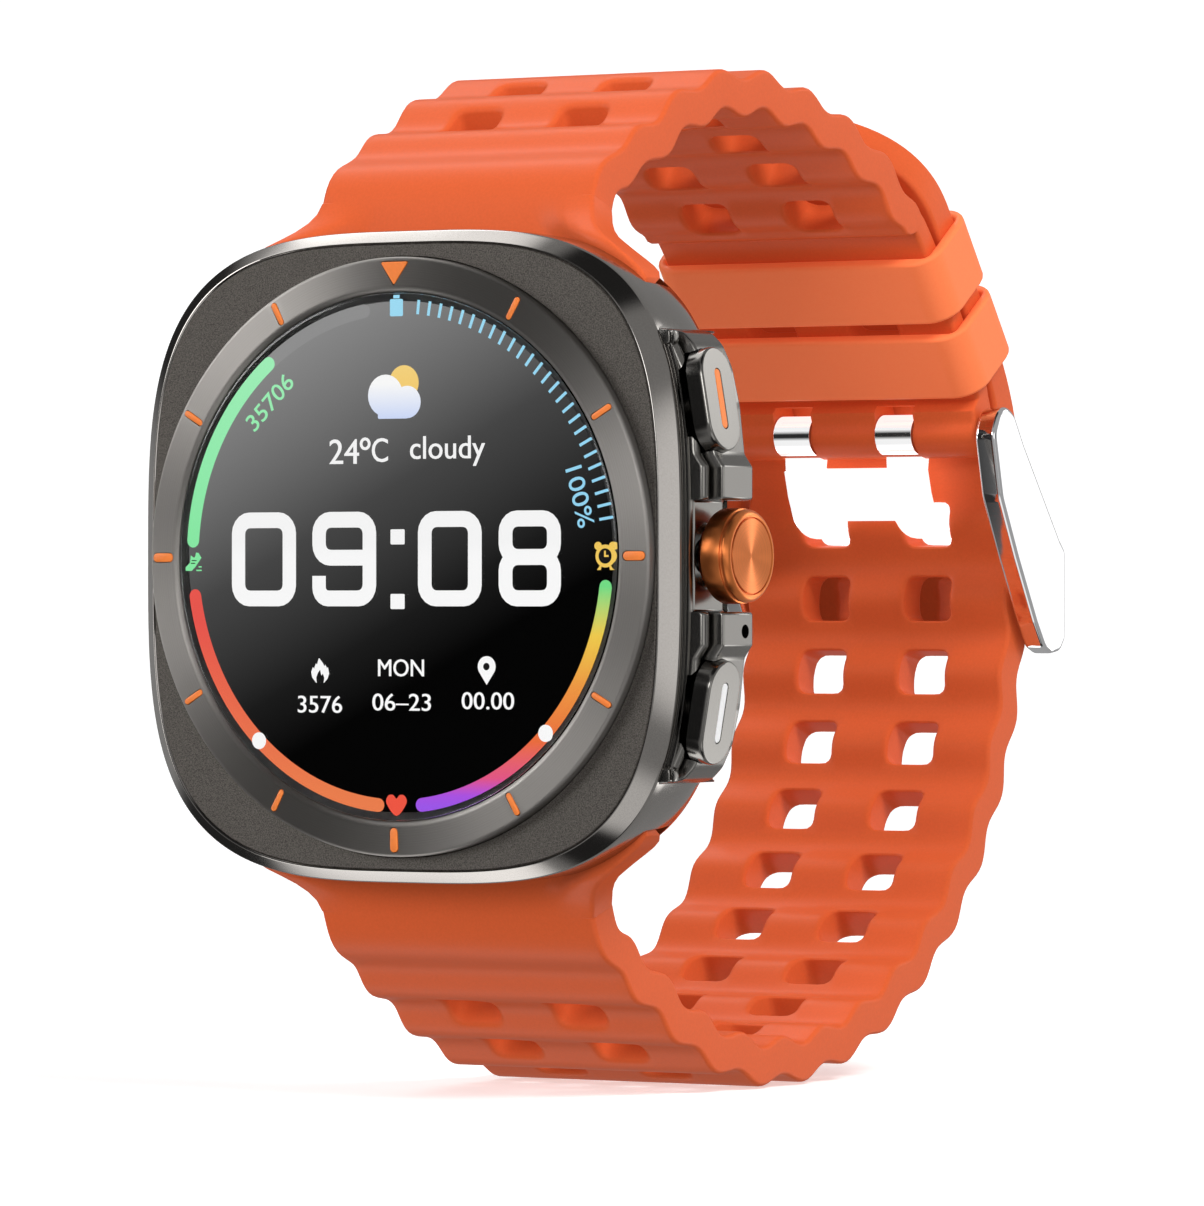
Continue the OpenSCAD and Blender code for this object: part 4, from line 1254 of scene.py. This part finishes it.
def label(name, words, x0, x1, z0, z1, material, turned=0.0, weight=0.0):
    """Lit words fitted to a box on the dial, or centred in it and turned clockwise."""
    curve = bpy.data.curves.new(name, "FONT")
    curve.body = words
    curve.resolution_u = 4
    curve.offset = weight
    text = bpy.data.objects.new(name, curve)
    bpy.context.scene.collection.objects.link(text)
    settled = bpy.data.meshes.new_from_object(text.evaluated_get(bpy.context.evaluated_depsgraph_get()))
    bpy.data.objects.remove(text)
    bm = bmesh.new()
    bm.from_mesh(settled)
    bmesh.ops.remove_doubles(bm, verts=bm.verts, dist=1e-5)
    xs, ys = [v.co.x for v in bm.verts], [v.co.y for v in bm.verts]
    low, high = (min(xs), min(ys)), (max(xs), max(ys))
    made = bmesh.ops.extrude_face_region(bm, geom=bm.faces[:])
    back = {v for v in made["geom"] if isinstance(v, bmesh.types.BMVert)}
    c, s = math.cos(math.radians(turned)), math.sin(math.radians(turned))
    centre = ((x0 + x1) / 2, (z0 + z1) / 2)
    for v in bm.verts:
        x = x0 + (v.co.x - low[0]) / (high[0] - low[0]) * (x1 - x0) - centre[0]
        z = z0 + (v.co.y - low[1]) / (high[1] - low[1]) * (z1 - z0) - centre[1]
        place = (centre[0] + x * c + z * s, UI_Y[1] if v in back else UI_Y[0], centre[1] - x * s + z * c)
        v.co = metres([place])[0]
    bmesh.ops.recalc_face_normals(bm, faces=bm.faces)
    bm.to_mesh(settled)
    bm.free()
    obj = bpy.data.objects.new(name, settled)
    bpy.context.scene.collection.objects.link(obj)
    return finished(obj, material)


def circle(x, z, r, steps=28):
    return [(x + r * math.sin(t), z + r * math.cos(t)) for t in turn(steps)]


def at_angle(radius, degrees):
    return radius * math.sin(math.radians(degrees)), radius * math.cos(math.radians(degrees))


def weather():
    behind = (0.46, 0.49)
    flat_piece("dial_sun", [circle(0.65, 12.65, 1.28)], sun_glow, behind)
    lobes = [circle(-0.95, 11.75, 1.52), circle(0.95, 11.25, 1.18),
             round_corners([(-1.6, 10.05), (1.0, 10.05), (1.0, 11.6), (-1.6, 11.6)], 0.1, 2)]
    parts = [prism_y("lobe", lobe, 0.42, 0.45) for lobe in lobes]
    first = parts[0]
    cut(first, *parts[1:], operation="UNION")
    first.name = "dial_cloud"
    finished(first, cloud_glow)


def moved(outline, x, z):
    return [(x + dx, z + dz) for dx, dz in outline]


def flame_icon():
    flame = [(-0.31, 0), (-0.66, 0.38), (-0.76, 0.77), (-0.62, 1.13), (-0.51, 0.99), (-0.35, 1.4),
             (-0.25, 1.3), (-0.08, 1.8), (0.25, 1.44), (0.41, 1.16), (0.47, 1.32), (0.63, 1.04),
             (0.7, 1.13), (0.8, 0.68), (0.66, 0.31), (0.35, 0), (0.41, 0.35), (0.27, 0.7),
             (0.14, 0.55), (0.02, 1.0), (-0.2, 0.72), (-0.34, 0.4)]
    flat_piece("dial_flame", [moved(flame, -6.75, -9.2)], white_glow)


def pin_icon():
    x, z = 7.85, -7.95
    pin = [at_angle(0.75, a) for a in range(-125, 126, 10)] + [(0, -1.3)]
    flat_piece("dial_pin", [moved(pin, x, z)], white_glow)
    flat_piece("dial_pin_eye", [circle(x, z, 0.27, 16)], dark_glow, OVER_Y)


def heart_icon():
    heart = [(0, -0.85), (-0.85, 0.05), (-0.72, 0.6), (-0.32, 0.68), (0, 0.4), (0.32, 0.68),
             (0.72, 0.6), (0.85, 0.05)]
    flat_piece("dial_heart", [spline(moved(heart, *at_angle(18.0, 180)), 4, True)], red_glow)


def alarm_icon():
    x, z = at_angle(18.0, 90)
    feet = [[(k * 0.55 - 0.15, -1.0), (k * 0.55 + 0.15, -1.0), (k * 0.3, -0.5)] for k in (-1, 1)]
    bells = [circle(x + k * 0.62, z + 0.72, 0.3, 14) for k in (-1, 1)]
    shapes = [circle(x, z, 0.82), *[moved(foot, x, z) for foot in feet], *bells]
    flat_piece("dial_alarm", shapes, yellow_glow)
    flat_piece("dial_alarm_face", [circle(x, z, 0.55)], dark_glow, OVER_Y)
    hand = stroke_solid("hand", moved([(0, 0.38), (0, 0), (0.3, 0)], x, z), 0.14, depth=(0.39, 0.415))
    finished(joined("dial_alarm_hands", [hand]), yellow_glow)


def shoe_icon():
    x, z = at_angle(18.1, -91)
    shoe = [(-0.69, -0.4), (-0.69, -0.67), (-0.18, -0.67), (0.15, -0.38), (0.7, 0.3), (0.44, 0.66),
            (0.26, 0.69), (0.15, 0.33), (-0.03, 0.33), (-0.23, 0.47), (-0.29, -0.06)]
    dashes = [[(a, d), (0.72, d), (0.72, d + 0.1), (a, d + 0.1)] for a, d in ((0.48, -0.42), (0.28, -0.68))]
    flat_piece("dial_shoe", [moved(piece, x, z) for piece in (shoe, *dashes)], green_glow)
    spans = ((-0.12, 0.3, 0.06), (-0.2, 0.18, -0.14))
    laces = [[(a, d), (b, d), (b, d + 0.07), (a, d + 0.07)] for a, b, d in spans]
    flat_piece("dial_laces", [moved(piece, x, z) for piece in laces], dark_glow, OVER_Y)


def battery_icon():
    body = round_corners([(-0.55, 17.5), (0.55, 17.5), (0.55, 18.75), (-0.55, 18.75)], 0.1, 2)
    cap = [(-0.25, 18.8), (0.25, 18.8), (0.25, 18.98), (-0.25, 18.98)]
    flat_piece("dial_battery", [body, cap], blue_glow)


def gauges():
    track = (0.46, 0.49)
    dial_arc("dial_steps_track", 18.15, 1.0, -40, -9, grey_glow, track)
    dial_arc("dial_steps", 18.15, 1.05, -86, -38.5, green_glow, (0.42, 0.45))
    ticks = []
    for k in range(26):
        angle = 6 + 3.02 * k
        c, s = at_angle(1, angle)
        r0, r1, w = 17.7, 18.75, 0.1
        ticks.append([(r0 * c + w * s, r0 * s - w * c), (r1 * c + w * s, r1 * s - w * c),
                      (r1 * c - w * s, r1 * s + w * c), (r0 * c - w * s, r0 * s + w * c)])
    flat_piece("dial_ticks", ticks, blue_glow)
    dial_arc("dial_heart_arc", 18.15, 1.0, -99, -175, heart_glow)
    dial_arc("dial_stress_arc", 18.15, 1.0, 97, 173, rainbow_glow())
    for name, angle in (("dial_heart_dot", -138), ("dial_stress_dot", 134.5)):
        flat_piece(name, [circle(*at_angle(18.15, angle), 0.62)], white_glow, (0.39, 0.42))


def words():
    label("dial_temperature", "24", -5.9, -3.3, 6.8, 8.6, white_glow)
    flat = circle(-2.75, 8.25, 0.36, 16)
    degree = stroke_solid("dial_degree", flat, 0.2, True)
    finished(degree, white_glow)
    label("dial_celsius", "C", -2.15, -0.75, 6.9, 8.65, white_glow)
    label("dial_weather", "cloudy", 1.2, 7.7, 6.55, 8.75, white_glow)
    label("dial_calories", "3576", -8.7, -4.8, -11.4, -10.15, white_glow)
    label("dial_day", "MON", -1.6, 2.4, -8.7, -7.45, white_glow)
    label("dial_date", "06–23", -2.1, 3.0, -11.2, -9.95, white_glow)
    label("dial_distance", "00.00", 5.7, 10.2, -11.05, -9.8, white_glow)
    x, z = at_angle(16.0, -44.5)
    label("dial_step_count", "35706", x - 2.5, x + 2.5, z - 0.65, z + 0.65, green_glow, -44.5)
    x, z = at_angle(16.4, 75)
    label("dial_charge", "100%", x - 2.2, x + 2.2, z - 0.7, z + 0.7, blue_glow, 75)


def dial():
    digits()
    words()
    weather()
    flame_icon()
    pin_icon()
    heart_icon()
    alarm_icon()
    shoe_icon()
    battery_icon()
    gauges()


# --- the watch ---------------------------------------------------------------

def straps():
    upper = strap_mesh(True)
    for edge in (-HOLE_X, HOLE_X):
        notch = [(60, 8.55), (65.4, 8.55), (65.4, 6), (70, 6), (70, 12.3), (60, 12.3)]
        cut(upper, prism_x("notch", notch, edge - 1.75, edge + 1.75))
    cut(upper, rod_x("bore", -20, 20, *BAR, 1.06))
    finished(upper, rubber, stands_for=["strap_upper"])
    finished(strap_mesh(False), rubber, stands_for=["strap_lower"])


CARRIED = {
    steel: ["haptic_motor", "microphone", "crown_stem", "crown_plunger", "upper_button_clip",
            "lower_button_clip", "upper_lug", "lower_lug", "upper_lug_pin", "lower_lug_pin"],
    chrome: ["crown_tube", "buckle_spring_bar"],
    inner_plastic: ["inner_frame", "speaker", "crown_switch", "upper_button_switch", "lower_button_switch"],
    circuit_board: ["main_board", "sensor_module"],
    battery_foil: ["battery"],
    black_seal: ["display_gasket", "crown_seal", "upper_button_seal", "lower_button_seal"],
    red_seal: ["rear_gasket"],
}


straps()
case_body()
front_plate()
bezel_ring()
bezel_markers()
cover_glass()
display_panel()
dial()
side_guard()
crown()
back()
for is_upper in (True, False):
    push_button(is_upper)
    release_button(is_upper)
keeper("free_keeper", 0, "free_keeper")
keeper("fixed_keeper", KEEPER_L + KEEPER_GAP, "case")
buckle()
for carried_material, names in CARRIED.items():
    for carried in names:
        for part_slot in frame["nodes"][carried].material_slots:
            part_slot.material = carried_material


# --- stage, light and camera --------------------------------------------------

def studio():
    floor_z = cad_box[0].z - 0.0002
    far, wide, rise, bend = 0.9, 1.6, 1.2, 0.35
    profile = [(-1.2, 0.0), (far - bend, 0.0)]
    profile += [(far - bend + bend * math.sin(t), bend * (1 - math.cos(t)))
                for t in np.linspace(0, math.pi / 2, 12)[1:]]
    profile.append((far, rise))
    turned = math.radians(CAMERA_YAW)
    points, faces = [], []
    for side in (-wide, wide):
        for d, h in profile:
            points.append((side * math.cos(turned) - d * math.sin(turned),
                           side * math.sin(turned) + d * math.cos(turned), floor_z + h))
    count = len(profile)
    for k in range(count - 1):
        faces.append((k, k + 1, count + k + 1, count + k))
    mesh = bpy.data.meshes.new("floor")
    mesh.from_pydata(points, [], faces)
    mesh.shade_smooth()
    floor = bpy.data.objects.new("floor", mesh)
    bpy.context.scene.collection.objects.link(floor)
    pale = shade("pale_floor", (0.88, 0.88, 0.88), 0.7, Emission_Color=(1, 1, 1, 1), Emission_Strength=0.5)
    floor.data.materials.append(grained(pale, 40, 0.01, 0.02))
    floor.visible_glossy = False
    floor.visible_transmission = False
    floor.visible_diffuse = False


def lamp(name, place, aim, size, power, glossy=False, colour=(1, 1, 1)):
    """A soft rectangular lamp; places are in metres and the size is (width, height)."""
    data = bpy.data.lights.new(name, "AREA")
    data.shape = "RECTANGLE"
    data.size, data.size_y = size
    data.energy = power
    data.color = colour
    obj = bpy.data.objects.new(name, data)
    obj.visible_glossy = glossy
    obj.location = place
    obj.rotation_mode = "QUATERNION"
    obj.rotation_quaternion = (Vector(aim) - Vector(place)).to_track_quat("-Z", "Y")
    bpy.context.scene.collection.objects.link(obj)


CAMERA_YAW = 33.98
CAMERA_PITCH = -0.35
CAMERA_DISTANCE = 560.0
FOCAL = 7700.0  # in units of the frame's pixels, 1204 across and 1206 down
CENTRE_SHIFT = (208.0, -46.2)  # how far the watch's centre lies from the frame's middle


def camera():
    a, e = math.radians(CAMERA_YAW), math.radians(CAMERA_PITCH)
    back = Vector((math.sin(a) * math.cos(e), -math.cos(a) * math.cos(e), math.sin(e)))
    right = Vector((math.cos(a), math.sin(a), 0))
    up = back.cross(right)
    data = bpy.data.cameras.new("camera")
    data.sensor_width = 36
    data.lens = FOCAL * 36 / 1206
    data.clip_start, data.clip_end = 0.01, 20
    obj = bpy.data.objects.new("camera", data)
    obj.location = Vector(metres([(0, 0, 0)])[0]) + back * CAMERA_DISTANCE * MM
    aim = right * (CENTRE_SHIFT[0] / FOCAL) + up * (CENTRE_SHIFT[1] / FOCAL) - back
    obj.rotation_mode = "QUATERNION"
    obj.rotation_quaternion = aim.to_track_quat("-Z", "Y")
    bpy.context.scene.collection.objects.link(obj)
    bpy.context.scene.camera = obj


def world():
    """A grey studio with soft bright and dark patches, each a direction, a reach and a level."""
    made = bpy.data.worlds.new("studio")
    made.use_nodes = True
    bpy.context.scene.world = made
    tree = made.node_tree
    tree.nodes.clear()
    place = tree.nodes.new("ShaderNodeTexCoord")
    level = tree.nodes.new("ShaderNodeValue").outputs[0]
    level.default_value = 0.36
    patches = [((-0.56, -0.83, -0.02), 12, 30, 0.02), ((-0.5, -0.65, 0.57), 12, 22, 0.03),
               ((-0.6, -0.6, -0.55), 10, 20, 0.03), ((-0.25, -0.8, 0.5), 8, 16, 0.05),
               ((-0.76, -0.54, -0.38), 5, 11, 0.05), ((0.14, -0.3, 0.9), 18, 28, 0.03),
               ((0.14, -0.3, -0.9), 18, 28, 0.03), ((-0.86, 0.38, 0.32), 10, 18, 0.03),
               ((-0.83, 0.3, -0.46), 10, 18, 0.03), ((-0.6, 0.05, 0.8), 10, 20, 2.0),
               ((-0.56, 0.02, -0.82), 10, 20, 2.2), ((0.82, -0.53, 0.0), 9, 20, 1.3),
               ((0.56, 0.83, 0.0), 10, 22, 1.3), ((0.45, 0.82, 0.36), 5, 12, 3.5),
               ((0.45, 0.82, -0.36), 5, 12, 3.5), ((-0.80, -0.51, 0.32), 9, 15, 6.0),
               ((-0.915, -0.39, -0.08), 4, 9, 4.0), ((0.35, -0.6, -0.72), 10, 22, 1.0),
               ((1.0, -0.06, 0.0), 6, 11, 0.03), ((-0.56, 0.4, 0.72), 5, 10, 4.0),
               ((0.16, -0.96, 0.21), 6, 12, 5.0)]
    for direction, inner, outer, value in patches:
        dot = tree.nodes.new("ShaderNodeVectorMath")
        dot.operation = "DOT_PRODUCT"
        dot.inputs[1].default_value = Vector(direction).normalized()
        tree.links.new(place.outputs["Generated"], dot.inputs[0])
        soft = tree.nodes.new("ShaderNodeMapRange")
        soft.interpolation_type = "SMOOTHSTEP"
        soft.inputs["From Min"].default_value = math.cos(math.radians(outer))
        soft.inputs["From Max"].default_value = math.cos(math.radians(inner))
        tree.links.new(dot.outputs["Value"], soft.inputs["Value"])
        mix = tree.nodes.new("ShaderNodeMix")
        tree.links.new(soft.outputs["Result"], mix.inputs["Factor"])
        tree.links.new(level, mix.inputs["A"])
        mix.inputs["B"].default_value = value
        level = mix.outputs["Result"]
    background = tree.nodes.new("ShaderNodeBackground")
    tree.links.new(level, background.inputs["Color"])
    output = tree.nodes.new("ShaderNodeOutputWorld")
    tree.links.new(background.outputs["Background"], output.inputs["Surface"])


bpy.context.scene.view_settings.view_transform = "Standard"
camera()
studio()
world()
lamp("key", (0.6, -0.2, 0.56), (0, 0.02, 0), (0.3, 0.25), 5.0)
lamp("front", (0.15, -0.9, 0.2), (0, 0.02, 0), (0.3, 0.3), 2.1)
lamp("fill", (0.45, -0.65, -0.15), (0, 0.05, 0), (0.3, 0.06), 4.0)
